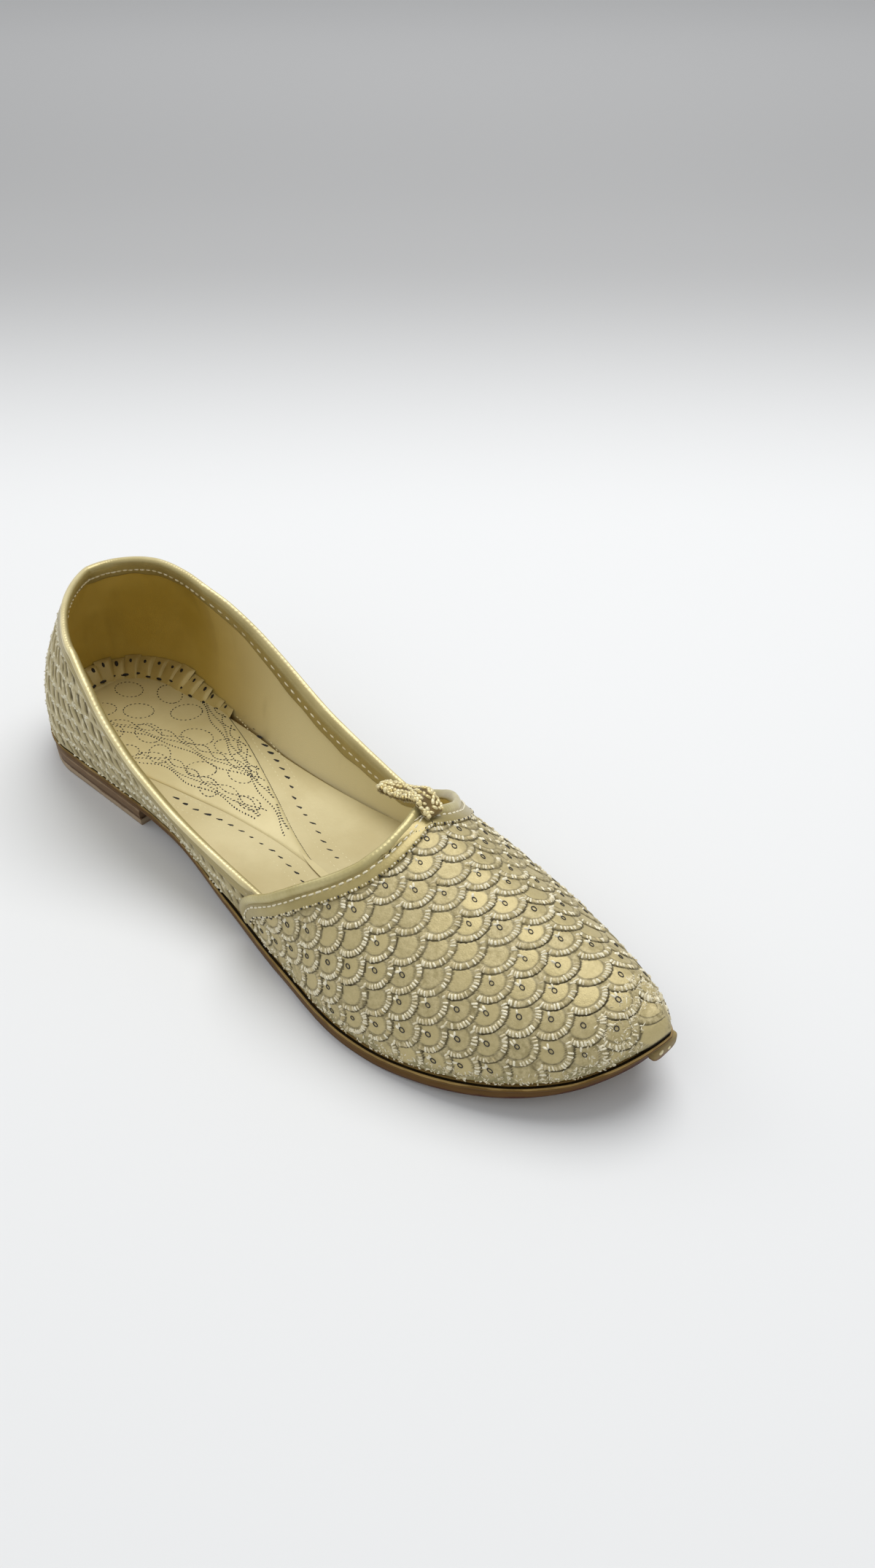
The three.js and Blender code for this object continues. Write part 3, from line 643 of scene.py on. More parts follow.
def brocade_material():
    """Brocade: foil inside each scale, dull cloth between, and dark lines of painted shade in the dips
    where threads pull in and at the foot.
    """
    made, tree, shader, place = new_material(
        "brocade_foil_cloth", metallic=0.55, roughness=0.42, coat=0.08)
    grain = noise(tree, place, 1900.0, 4.0)
    patch = noise(tree, place, 620.0, 5.0, 0.7)
    cloth = blend(tree, spread(tree, patch, 0.32, 0.68), CLOTH_LOW, CLOTH_HIGH)
    foil = blend(tree, grain, FOIL_LOW, FOIL_HIGH)
    colour = blend(tree, attribute(tree, "foil"), cloth, foil)
    colour = blend(tree, attribute(tree, "fuzz"), colour, FUZZ)
    # Painted shade: the line share darkens the cloth and takes away its shine in the dips and at the foot
    colour = blend(tree, attribute(tree, "line"), colour, CREVICE_SHADE)
    feed(shader, "Base Color", colour)
    shine = spread(tree, attribute(tree, "foil"), 0.0, 1.0, 0.22, 0.42)
    feed(shader, "Metallic", sums(tree, "MULTIPLY", shine, fading(tree, "line")))
    feed(shader, "Specular IOR Level", sums(tree, "MULTIPLY", 0.5, fading(tree, "line")))
    rough = spread(tree, attribute(tree, "foil"), 0.0, 1.0, 0.6, 0.47)
    rough = sums(tree, "ADD", rough, spread(tree, grain, 0.3, 0.7, -0.05, 0.08))
    feed(shader, "Roughness", rough)
    weave = sums(tree, "ADD", sums(tree, "MULTIPLY", grain, 0.5), patch)
    relief(tree, shader, weave, 0.0003, 0.7)
    return made


def thread_material(name, low=THREAD, high=THREAD_WHITE, roughness=0.45, metallic=0.12):
    """Wound metallic thread: each stitch has its own shade, lighter and darker along its lie; a stitch
    whose shade is near 0 takes the dark of a hole's painted shade.
    """
    made, tree, shader, place = new_material(
        name, metallic=metallic, roughness=roughness, coat=0.15, sheen=0.15)
    twist = noise(tree, place, 2600.0, 2.0)
    own = blend(tree, attribute(tree, "shade"), low, high)
    own = blend(tree, spread(tree, twist, 0.22, 0.46), darker(low, 0.5), own)
    # A shade near 0 paints the stitch in the dark of a hole's painted shade
    own = blend(tree, spread(tree, attribute(tree, "shade"), 0.0, 0.08), HOLE_SHADE, own)
    feed(shader, "Base Color", own)
    relief(tree, shader, twist, 0.00008, 0.7)
    return made


def leather_material(name, light, dark, metallic=0.25, roughness=0.42, coat=0.12):
    """Foil-faced leather: fine pebble, with soft clouds of shade and of shine."""
    made, tree, shader, place = new_material(name, metallic=metallic, roughness=roughness, coat=coat)
    cloud = noise(tree, place, 38.0, 4.0)
    pebble = node(tree, "ShaderNodeTexVoronoi", {"Vector": place, "Scale": 900.0}).outputs["Distance"]
    colour = blend(tree, spread(tree, cloud, 0.28, 0.72), dark, light)
    feed(shader, "Base Color", colour)
    rough = spread(tree, cloud, 0.2, 0.8, roughness + 0.08, roughness - 0.05)
    feed(shader, "Roughness", rough)
    relief(tree, shader, sums(tree, "ADD", pebble, noise(tree, place, 300.0, 3.0)), 0.00004, 0.5)
    return made


def binding_material(name, low, high):
    """Binding strip: dull where it lies flat, bright and faintly ribbed where it rolls over."""
    made, tree, shader, place = new_material(name, metallic=0.35, roughness=0.36, coat=0.2)
    cloud = noise(tree, place, 120.0, 3.0)
    fine = noise(tree, place, 1500.0, 2.0)
    wave = sums(tree, "SINE", sums(tree, "MULTIPLY", attribute(tree, "along"), 2 * math.pi / 1.5), 0.0)
    ribs = sums(tree, "MULTIPLY", sums(tree, "MULTIPLY", wave, attribute(tree, "roll")), 0.2)
    flat = blend(tree, cloud, *STRIP_FLAT)
    rolled = blend(tree, cloud, low, high)
    feed(shader, "Base Color", blend(tree, attribute(tree, "roll"), flat, rolled))
    relief(tree, shader, sums(tree, "ADD", sums(tree, "MULTIPLY", fine, 0.6), ribs), 0.00016, 0.7)
    return made


def sole_material(name, low, middle, top, roughness=0.5):
    """Burnished leather edge: colour by height in the layer, with fine lines along it, and a dark
    band of painted shadow from the gap between pieces where the rise is over 1."""
    made, tree, shader, place = new_material(name, roughness=roughness, coat=0.02)
    shader.inputs["Specular IOR Level"].default_value = 0.16
    rise = attribute(tree, "rise")
    wander = sums(tree, "ADD", rise, spread(tree, noise(tree, place, 90.0, 4.0), 0.2, 0.8, -0.16, 0.16))
    colour = blend(tree, spread(tree, wander, 0.12, 0.42), low, middle)
    colour = blend(tree, spread(tree, wander, 0.78, 0.96), colour, top)
    # Painted shadow of the gap between pieces where the rise is over 1
    colour = blend(tree, spread(tree, rise, 1.2, 1.7), colour, CREVICE_SHADE)
    fibre = noise(tree, place, 260.0, 5.0, stretch=(0.25, 0.25, 6.0))
    colour = blend(tree, spread(tree, fibre, 0.45, 0.85, 0.0, 0.35), colour, darker(middle, 0.45))
    feed(shader, "Base Color", colour)
    rough = spread(tree, fibre, 0.2, 0.8, roughness - 0.1, roughness + 0.15)
    feed(shader, "Roughness", rough)
    relief(tree, shader, fibre, 0.00012, 0.5)
    return made


def plain_material(name, colour, roughness=0.7):
    """One matt colour, mottled to half its strength."""
    made, tree, shader, place = new_material(name, roughness=roughness)
    mottled = blend(tree, noise(tree, place, 1500.0), colour, darker(colour, 0.5))
    feed(shader, "Base Color", mottled)
    return made


# Sheet of scales: distances on the vamp's face, square to each other in the cloth

class VampSheet:
    """Cloth of the vamp. s runs toward the toe and c to the medial side, both in millimetres
    on the face: t is the arc from the ridge, s = x - 0.187 t + 0.0023 t t, c = t + 0.2 (x - 200)."""

    STEP = 0.2
    LEAN = 0.187
    BEND = 0.0023
    SKEW = 0.2
    MIDDLE_X = 200.0

    def __init__(self):
        """Lays out the stations and turns, and measures the arcs between them."""
        self.xs = np.linspace(138.0, LENGTH, 143)
        self.turns = np.linspace(0.0, 180.0, 361)
        x, turn = lattice(self.xs, self.turns)
        steps = np.linalg.norm(np.diff(vamp_point(x, turn), axis=1), axis=-1)
        reach = np.concatenate([np.zeros((len(self.xs), 1)), np.cumsum(steps, 1)], 1)
        self.arcs = reach - reach[:, 180:181]

    def arc(self, x, turn):
        """Arc from the ridge, read between the stations and turns of the table."""
        i = np.clip((x - self.xs[0]) / (self.xs[1] - self.xs[0]), 0, len(self.xs) - 1.001)
        j = np.clip(turn / (self.turns[1] - self.turns[0]), 0, len(self.turns) - 1.001)
        i0, j0 = i.astype(int), j.astype(int)
        fi, fj = i - i0, j - j0
        a = self.arcs
        return ((a[i0, j0] * (1 - fi) + a[i0 + 1, j0] * fi) * (1 - fj)
                + (a[i0, j0 + 1] * (1 - fi) + a[i0 + 1, j0 + 1] * fi) * fj)

    def from_foot(self, x, turn):
        """Distance up the face from the nearer foot."""
        here = self.arc(x, turn)
        return np.minimum(here - self.arc(x, 0 * turn), self.arc(x, 0 * turn + 180) - here)

    def place(self, x, turn):
        """Cloth place (s, c) and point of a station and turn."""
        point = vamp_point(x, turn)
        t = self.arc(x, turn)
        s = point[..., 0] - self.LEAN * t + self.BEND * t * t
        return s, t + self.SKEW * (point[..., 0] - self.MIDDLE_X), point

    def find(self, s, c):
        """Station and turn of a cloth place, by Newton steps, with the point and its directions."""
        x = np.clip(s, 150.0, LENGTH - 4)
        turn = np.clip(90 + c * 1.1, 4.0, 176.0)
        for _ in range(14):
            s0, c0, _ = self.place(x, turn)
            s1, c1, _ = self.place(x + self.STEP, turn)
            s2, c2, _ = self.place(x, turn + self.STEP)
            a, b = (s1 - s0) / self.STEP, (s2 - s0) / self.STEP
            d, e = (c1 - c0) / self.STEP, (c2 - c0) / self.STEP
            size = a * e - b * d
            size = np.where(np.abs(size) < 1e-3, 1e-3, size)
            rs, rc = s - s0, c - c0
            x = np.clip(x + np.clip((rs * e - rc * b) / size, -6, 6), 141.0, LENGTH - 0.6)
            turn = np.clip(turn + np.clip((a * rc - d * rs) / size, -12, 12), 0.6, 179.4)
        s0, c0, point = self.place(x, turn)
        by_x = (self.place(x + self.STEP, turn)[2] - point) / self.STEP
        by_turn = (self.place(x, turn + self.STEP)[2] - point) / self.STEP
        size = np.where(np.abs(a * e - b * d) < 1e-3, 1e-3, a * e - b * d)[..., None]
        toward = unit((by_x * e[..., None] - by_turn * d[..., None]) / size)
        up = unit(np.cross(by_x, by_turn))
        across = unit(np.cross(up, toward))
        error = np.hypot(s - s0, c - c0)
        return x, turn, point, toward, across, up, error


def scale_shift(row, column, reach, seed=11):
    """Small seeded wander of each scale's middle, the same wherever it is asked for."""
    table = np.random.default_rng(seed).uniform(-reach, reach, (64, 64, 2))
    return table[row % 64, column % 64]


def scale_on_top(s, c, pattern):
    """The scale that lies on top at each place: rows nearer the throat lie over the next. Each is
    an ellipse. Gives the share of the way to its edge, the angle from the toe's direction, and
    its row and column."""
    row_pitch, pitch, reach, half_width, wander = pattern
    near = np.round(s / row_pitch).astype(int)
    distance = np.full(s.shape, 99.0)
    angle = np.zeros(s.shape)
    rows = np.zeros(s.shape, int)
    columns = np.zeros(s.shape, int)
    for step in (2, 1, 0, -1, -2):
        row = near + step
        half = (row % 2) * pitch / 2
        column = np.round((c - half) / pitch).astype(int)
        shift = scale_shift(row, column, wander)
        ds = s - row * row_pitch - shift[..., 0]
        dc = c - column * pitch - half - shift[..., 1]
        away = np.hypot(ds / reach, dc / half_width)
        over = away < 1
        distance = np.where(over, away, distance)
        angle = np.where(over, np.arctan2(dc / half_width, ds / reach), angle)
        rows = np.where(over, row, rows)
        columns = np.where(over, column, columns)
    return distance, angle, rows, columns


def hump(value, middle, half):
    """1 at the middle, falling to 0 at a distance of half."""
    return np.maximum(0, 1 - ((value - middle) / half) ** 2)


# Sizes and colours that a user would change

def length_property(name, description, millimetres):
    """A length given in millimetres and kept in metres."""
    return bpy.props.FloatProperty(
        name=name, description=description, default=millimetres * MM, unit="LENGTH", precision=5)


def count_property(name, description, default):
    """A whole number of at least 1."""
    return bpy.props.IntProperty(name=name, description=description, default=default, min=1)


class MOJARI_PG_vamp(bpy.types.PropertyGroup):
    """Sizes of the vamp's scales and of their stitches"""

    row_pitch: length_property("Row pitch", "From one row of scales to the next", 6.07)
    column_pitch: length_property("Column pitch", "From one scale to the next in its row", 12.75)
    scale_reach: length_property("Scale reach", "From a scale's middle to its edge toward the toe", 5.7)
    scale_half: length_property("Scale half width", "From a scale's middle to its side", 7.3)
    scale_wander: length_property("Wander", "How far a scale sits from its place", 0.35)
    beads: count_property("Stitches", "White stitches along each scale's edge", 15)
    relief: length_property("Relief", "Height of the embroidered edge", 0.26)


class MOJARI_PG_quarter(bpy.types.PropertyGroup):
    """Sizes of the quarter's slits and knots"""

    band_pitch: length_property("Band pitch", "Height from one band of slits to the next", 8.2)
    slit_height: length_property("Slit height", "Height of a dark slit", 6.1)
    slit_pitch: length_property("Slit pitch", "Distance between slits along a band", 5.2)
    slit_width: length_property("Slit width", "Width of a dark slit", 1.75)
    lean: bpy.props.FloatProperty(
        name="Lean", description="How far a slit leans forward for its height", default=0.26)
    knot_pitch: length_property("Knot pitch", "Distance between the bright knots in a row", 1.7)


class MOJARI_PG_trim(bpy.types.PropertyGroup):
    """Sizes of the stitches of the bindings and of the braid"""

    stitch_length: length_property("Stitch length", "Length of a stitch of the binding", 2.3)
    stitch_pitch: length_property("Stitch pitch", "From one stitch to the next", 3.3)
    pearl: length_property("Pearl", "Radius of a pearl of the braid", 0.7)


class MOJARI_PG_inside(bpy.types.PropertyGroup):
    """Sizes of the pleats and of the sock's ornament"""

    pleat_width: length_property("Pleat width", "Width of a tab of the pleated allowance", 8.6)
    pleat_rise: length_property("Pleat rise", "How far the pleats climb the wall", 6.0)
    dash: length_property("Dash", "Length of a stitch of the sock's ornament", 1.1)
    dash_pitch: length_property("Dash pitch", "From one stitch of the ornament to the next", 1.6)


class MOJARI_PG_stage(bpy.types.PropertyGroup):
    """Camera's place and lens, and the floor's colour"""

    lens: bpy.props.FloatProperty(
        name="Lens", description="Focal length on a 36 mm sensor", default=31.8)
    camera_x: length_property("Camera X", "Camera's place toward the toe", 370.3)
    camera_y: length_property("Camera Y", "Camera's place to the medial side", -230.0)
    camera_z: length_property("Camera Z", "Camera's height", 329.3)
    floor_colour: bpy.props.FloatVectorProperty(
        name="Floor", description="Colour of the floor near the shoe", subtype="COLOR",
        default=(0.79, 0.795, 0.795))


SETTINGS = {
    "mojari_vamp": MOJARI_PG_vamp,
    "mojari_quarter": MOJARI_PG_quarter,
    "mojari_trim": MOJARI_PG_trim,
    "mojari_inside": MOJARI_PG_inside,
    "mojari_stage": MOJARI_PG_stage,
}


def in_mm(length):
    """Millimetres from the metres of a property."""
    return length / MM


# Upper

INSIDE_VAMP = (215.0, 0.0, 18.0)
INSIDE_QUARTER = (70.0, 2.0, 30.0)
INSIDE_TAB = (178.0, 3.0, 50.0)
OVER_HEEL_SEAT = (38.0, 1.8, 60.0)
CLOTH_THICK = 0.9


def scale_pattern(settings):
    """Pitches, reach, half width and wander of the scales, in millimetres."""
    return (in_mm(settings.row_pitch), in_mm(settings.column_pitch),
            in_mm(settings.scale_reach), in_mm(settings.scale_half), in_mm(settings.scale_wander))


# One scale's middle, found in the photographed cloth, fixes the whole sheet
SHEET_S = 200.1
SHEET_C = -12.76


def vamp_grid(shares, turns):
    """Stations and turns of a grid from the throat's edge to the tip."""
    share, turn = lattice(shares, turns)
    start = throat_x(turn)
    return start + (LENGTH - start) * share, turn


CREASE_DEPTH = {"across": 0.5, "beside": 0.35, "hollow": 0.4}
CREASE_ACROSS_X = 214
CREASE_BESIDE_TURN = 62
CREASE_HOLLOW_X = 252


def bell(away, half):
    """1 in the middle, falling off softly with the distance from it."""
    return np.exp(-(away / half) ** 2)


def vamp_creases(x, turn):
    """Soft troughs of the worn vamp, as depth in millimetres: one across in front of the ball,
    one beside the ridge, and a slight hollow before the toe."""
    side = (turn - 90) / 90
    bowed = x - CREASE_ACROSS_X + 16 * side ** 2
    across = CREASE_DEPTH["across"] * bell(bowed, 7) * bell(side - 0.15, 0.5)
    slanted = turn - CREASE_BESIDE_TURN - 0.1 * (x - 200)
    beside = (CREASE_DEPTH["beside"] * bell(slanted, 7)
              * smooth(x, 200, 215) * (1 - smooth(x, 245, 262)))
    hollow = CREASE_DEPTH["hollow"] * bell(x - CREASE_HOLLOW_X, 9) * bell(side + 0.3, 0.4)
    return across + beside + hollow


# Shares of the way to a scale's edge: its stitched edge, its groove and its foil middle
EDGE_AT = 0.8
GROOVE_AT = 0.6
PUFF_TO = 0.68
# Heights and depths of a scale, in millimetres
PUFF_HEIGHT = 0.06
GROOVE_DEPTH = 0.1
RIM_DEPTH = 0.28
SCALE_TILT = 0.16
FUZZ_HEIGHT = 0.12
TUCK_DEPTH = 1.3


def vamp_relief(s, c, x, from_foot, settings):
    """Height in millimetres over the cloth, and the shares of foil, line and fuzz: a puffed foil
    middle, a thin line, a dull band, a raised edge and a dark line round it. The line share is painted
    shade: in the thin line's groove, in the dip round the edge, and as painted shadow where the cloth
    tucks under at the foot."""
    away, angle, row, column = scale_on_top(s - SHEET_S, c - SHEET_C, scale_pattern(settings))
    own = scale_shift(row, column, 0.5, 17)[..., 0] + 0.5
    toward = smooth(np.cos(angle), -0.3, 0.3)
    edge = hump(away, EDGE_AT, 0.15) * toward
    groove = hump(away, GROOVE_AT, 0.05)
    rim = smooth(away, 0.89, 0.95)
    puff = np.sqrt(np.maximum(0, 1 - (away / PUFF_TO) ** 2))
    fuzz = 1 - smooth(from_foot + 1.4 * np.sin(x / 3.1) + 1.1 * np.sin(x / 1.3), 1.6, 4.2)
    height = (PUFF_HEIGHT * puff + in_mm(settings.relief) * edge - GROOVE_DEPTH * groove
              - RIM_DEPTH * rim + SCALE_TILT * away * np.cos(angle))
    # Painted shade in the dip round the edge and in the groove
    line = np.maximum(rim * toward * (0.55 + 0.4 * own), 0.45 * groove * smooth(np.cos(angle), -0.5, 0.1))
    foil = (1 - smooth(away, 0.55, 0.6)) * (0.35 + 0.65 * own)
    ragged = FUZZ_HEIGHT * np.sin(7.1 * s) * np.sin(6.3 * c) + FUZZ_HEIGHT * np.sin(3.3 * s + 4.7 * c)
    height = height * (1 - fuzz) + ragged * fuzz
    # Painted shadow where the cloth tucks under between upper and sole
    under = 1 - smooth(from_foot, 0.5, 1.5)
    return height, foil * (1 - fuzz), np.maximum(line * (1 - 0.85 * fuzz), under), fuzz


def tucked(height, from_foot):
    """Pulls the cloth in at its foot, where it goes under between upper and sole."""
    return height - TUCK_DEPTH * (1 - smooth(from_foot, 0.2, 1.5))


class MOJARI_OT_vamp(bpy.types.Operator):
    """Builds the vamp: the sheet of scales, its white stitches and knots, and the lining"""

    bl_idname = "mojari.vamp"
    bl_label = "Vamp"

    def execute(self, context):
        settings = context.scene.mojari_vamp
        sheet = VampSheet()
        cloth = brocade_material()
        thread = thread_material("white_gold_thread")
        build_vamp_cloth(sheet, settings, cloth)
        build_vamp_lining()
        build_scale_stitches(sheet, settings, thread)
        build_scale_knots(sheet, settings, thread)
        return {"FINISHED"}


def build_vamp_cloth(sheet, settings, material):
    """Vamp's face on a grid, moved along its normals by the relief less the creases."""
    t = np.linspace(0, 1, 262)
    shares = 1 - (1 - t) ** 1.12
    turns = np.linspace(0, 180, 341)
    x, turn = vamp_grid(shares, turns)
    points = vamp_point(x, turn)
    normals = grid_normals(points, INSIDE_VAMP)
    s, c, _ = sheet.place(x, turn)
    from_foot = sheet.from_foot(x, turn)
    height, foil, line, fuzz = vamp_relief(s, c, x, from_foot, settings)
    height = tucked(height, from_foot) - vamp_creases(x, turn)
    fade = 1 - smooth(x, LENGTH - 5, LENGTH - 1)
    points = points + normals * (height * fade)[..., None]
    # The line share carries the painted shade of the dips and the foot
    make_piece("vamp_cloth", points, grid_faces(*x.shape), material, replaces=("upper",),
               inside=INSIDE_VAMP, attributes={"foil": foil, "line": line, "fuzz": fuzz})


def build_vamp_lining():
    """Closed wall under the cloth, whose inner face is seen in the throat."""
    x, turn = vamp_grid(1 - (1 - np.linspace(0, 1, 60)) ** 1.4, np.linspace(0, 180, 91))
    outer = vamp_point(x, turn, -CLOTH_THICK)
    inner = vamp_point(x, turn, -VAMP_WALL)
    points, faces = shell(outer, inner)
    make_piece("vamp_lining", points, faces, lining_material())


def visible_spots(sheet, s, c, rows, columns, settings, margin=3.0):
    """Which spots of the cloth lie on the vamp and not under another scale, and the place and
    directions of every spot."""
    x, turn, point, toward, across, up, error = sheet.find(s, c)
    _, _, top_row, top_column = scale_on_top(s - SHEET_S, c - SHEET_C, scale_pattern(settings))
    from_foot = sheet.from_foot(x, turn)
    kept = ((error < 0.05) & (top_row == rows) & (top_column == columns) & (from_foot > margin)
            & (x > throat_x(turn) + 5.5) & (x < LENGTH - 3))
    height = vamp_relief(s, c, x, from_foot, settings)[0] - vamp_creases(x, turn)
    return kept, x, turn, point + up * height[..., None], toward, across, up


def scale_middles(settings):
    """Middles of every scale that may touch the vamp, with their rows and columns."""
    row_pitch, pitch, _, _, wander = scale_pattern(settings)
    row, column = lattice(np.arange(-14, 16), np.arange(-8, 9))
    row, column = row.ravel(), column.ravel()
    shift = scale_shift(row, column, wander)
    s = SHEET_S + row * row_pitch + shift[:, 0]
    c = SHEET_C + column * pitch + (row % 2) * pitch / 2 + shift[:, 1]
    return row, column, s, c


# Length, width and height of a stitch on a scale's edge and of one in its middle
EDGE_STITCH = (1.75, 0.74, 0.38)
MIDDLE_STITCH = (1.75, 0.85, 0.55)


def build_scale_stitches(sheet, settings, material):
    """White stitches laid side by side along each scale's edge, each a small cushion across it,
    and the loose threads at the foot and the tip."""
    row, column, s, c = scale_middles(settings)
    _, _, reach, half_width, _ = scale_pattern(settings)
    angles = np.radians(np.linspace(-76, 76, settings.beads))
    rng = np.random.default_rng(5)
    shape = (len(row), len(angles))
    angle = np.broadcast_to(angles, shape) + rng.normal(0, 0.018, shape)
    share = EDGE_AT + rng.normal(0, 0.012, shape)
    spot_s = s[:, None] + share * reach * np.cos(angle)
    spot_c = c[:, None] + share * half_width * np.sin(angle)
    rows = np.broadcast_to(row[:, None], shape)
    columns = np.broadcast_to(column[:, None], shape)
    kept, _, turn, point, toward, across, up = visible_spots(
        sheet, spot_s, spot_c, rows, columns, settings)
    # Worn threads are missing here and there, and more on the medial side
    thin = 0.62 * smooth(turn, 88, 125) + 0.14
    patch = 0.5 + 0.5 * np.sin(1.7 * rows + 2.3 * columns) * np.sin(0.9 * rows - 1.1 * columns)
    kept &= rng.uniform(0, 1, shape) > thin * (0.4 + 1.2 * patch)
    lie = np.arctan2(np.sin(angle) / half_width, np.cos(angle) / reach)
    turned = (lie + rng.normal(0, 0.14, shape))[..., None]
    radial = toward * np.cos(turned) + across * np.sin(turned)
    tangent = np.cross(up, radial)
    size = np.stack([rng.uniform(0.75, 1.15, shape), rng.uniform(0.75, 1.1, shape),
                     rng.uniform(0.6, 1.2, shape)], -1)
    template = pillow(*EDGE_STITCH)
    points, faces = scatter(template, point[kept], radial[kept], tangent[kept], up[kept], size[kept])
    shade = np.repeat(rng.beta(2.6, 1.3, shape)[kept], len(template[0]))
    loose_points, loose_faces = foot_threads(sheet, settings)
    each = len(LOOSE_THREAD[0])
    loose_shade = np.random.default_rng(13).uniform(0.2, 1, len(loose_points) // each).repeat(each)
    shade = np.concatenate([shade, loose_shade])
    points, faces = join_parts([(points, faces), (loose_points, loose_faces)])
    make_piece("scale_stitches", points, faces, material, inside=INSIDE_VAMP,
               attributes={"shade": shade})


LOOSE_THREAD = pillow(1.3, 0.42, 0.3, cells=(3, 2))


def foot_threads(sheet, settings, count=1500, at_tip=420):
    """Loose thread ends that lie every way in the worn cloth above the sole and at the tip."""
    rng = np.random.default_rng(12)
    x = np.concatenate([
        rng.uniform(150.0, LENGTH - 6, count), rng.uniform(LENGTH - 13, LENGTH - 2.5, at_tip)])
    near = rng.uniform(0, 1, count) < 0.6
    low = np.where(near, 0.0, 180.0) + np.where(near, 1, -1) * rng.uniform(1.0, 16.0, count)
    turn = np.concatenate([low, rng.uniform(8.0, 172.0, at_tip)])
    from_foot = sheet.from_foot(x, turn)
    kept = (from_foot > 0.8) & ((from_foot < 5.0) | (np.arange(len(x)) >= count))
    x, turn, from_foot = x[kept], turn[kept], from_foot[kept]
    s, c, point = sheet.place(x, turn)
    ahead = unit(vamp_point(x + 0.2, turn) - point)
    up = unit(np.cross(ahead, vamp_point(x, turn + 0.2) - point))
    up = np.where(dot(up, point - np.array(INSIDE_VAMP)) < 0, -up, up)
    height = vamp_relief(s, c, x, from_foot, settings)[0] * (1 - smooth(x, LENGTH - 5, LENGTH - 1))
    turned = rng.uniform(0, np.pi, len(x))[:, None]
    along = ahead * np.cos(turned) + np.cross(up, ahead) * np.sin(turned)
    size = rng.uniform(0.6, 1.3, (len(x), 3))
    return scatter(LOOSE_THREAD, point + up * height[:, None], along, np.cross(up, along), up, size)


def build_scale_knots(sheet, settings, material):
    """A looped knot in the middle of most scales, with up to two white stitches behind it."""
    row, column, s, c = scale_middles(settings)
    rng = np.random.default_rng(9)
    kept, _, _, point, toward, across, up = visible_spots(sheet, s, c, row, column, settings, 5.0)
    kept &= rng.uniform(0, 1, len(row)) > 0.2
    count = kept.sum()
    loop = rng.uniform(0.85, 1.15, (count, 3)) * np.array([1.15, 0.85, 1.0])
    origins = point[kept] + up[kept] * 0.08
    parts = [scatter(ring(0.72, 0.17), origins, toward[kept], across[kept], up[kept], loop)]
    for lean, side in ((0.5, -0.45), (-0.6, 0.5)):
        on, _, _, spot, ahead, aside, out = visible_spots(
            sheet, s - 1.5, c + side, row, column, settings, 5.0)
        on &= kept & (rng.uniform(0, 1, len(row)) > 0.25)
        turned = (lean + rng.normal(0, 0.25, len(row)))[:, None]
        along = ahead * np.cos(turned) + aside * np.sin(turned)
        size = rng.uniform(0.75, 1.2, (len(row), 3))
        sideways = np.cross(out, along)
        pair = pillow(*MIDDLE_STITCH)
        parts.append(scatter(pair, spot[on], along[on], sideways[on], out[on], size[on]))
    points, faces = join_parts(parts)
    ring_points = len(parts[0][0])
    # The rings get shade 0, which draws them in the hole shade's dark
    shade = np.concatenate([np.full(ring_points, 0.0), np.full(len(points) - ring_points, 0.95)])
    make_piece("scale_knots", points, faces, material, inside=INSIDE_VAMP,
               attributes={"shade": shade})


def lining_material():
    """Olive lining, paler toward the toe where the pale attribute paints light on it, with darker pulls.
    """
    found = bpy.data.materials.get("olive_lining")
    if found:
        return found
    made, tree, shader, place = new_material("olive_lining", metallic=0.25, roughness=0.46, coat=0.05)
    cloud = noise(tree, place, 26.0, 3.0)
    pull = noise(tree, place, 55.0, 3.0, stretch=(1.0, 1.0, 0.18))
    colour = blend(tree, spread(tree, cloud, 0.3, 0.7), LINING_LOW, LINING_HIGH)
    colour = blend(tree, attribute(tree, "pale"), colour, LINING_PAINTED_LIGHT)
    colour = blend(tree, spread(tree, pull, 0.56, 0.72, 0.0, 0.35), colour, darker(LINING_LOW, 0.6))
    feed(shader, "Base Color", colour)
    relief(tree, shader, sums(tree, "ADD", pull, noise(tree, place, 2200.0, 2.0)), 0.0002, 0.35)
    return made


# Quarter

def quarter_lean(run, settings):
    """Lean of the slits: none round the back, full along the sides, always forward going down."""
    return np.sign(run) * settings.lean * smooth(np.abs(run), 12.0, 60.0)


# Heights in millimetres: the lowest band's foot, the lines of knots over a band, and the relief
BAND_FOOT = 1.5
KNOT_LEVELS = (0.2, 0.95, 1.7)
RIB_HEIGHT = 0.34
SLIT_DEPTH = 0.7
KNOT_ROW_HEIGHT = 0.12


def band_sway(run):
    """How far the bands sway up and down along the quarter."""
    return 0.35 * np.sin(run / 9.0)


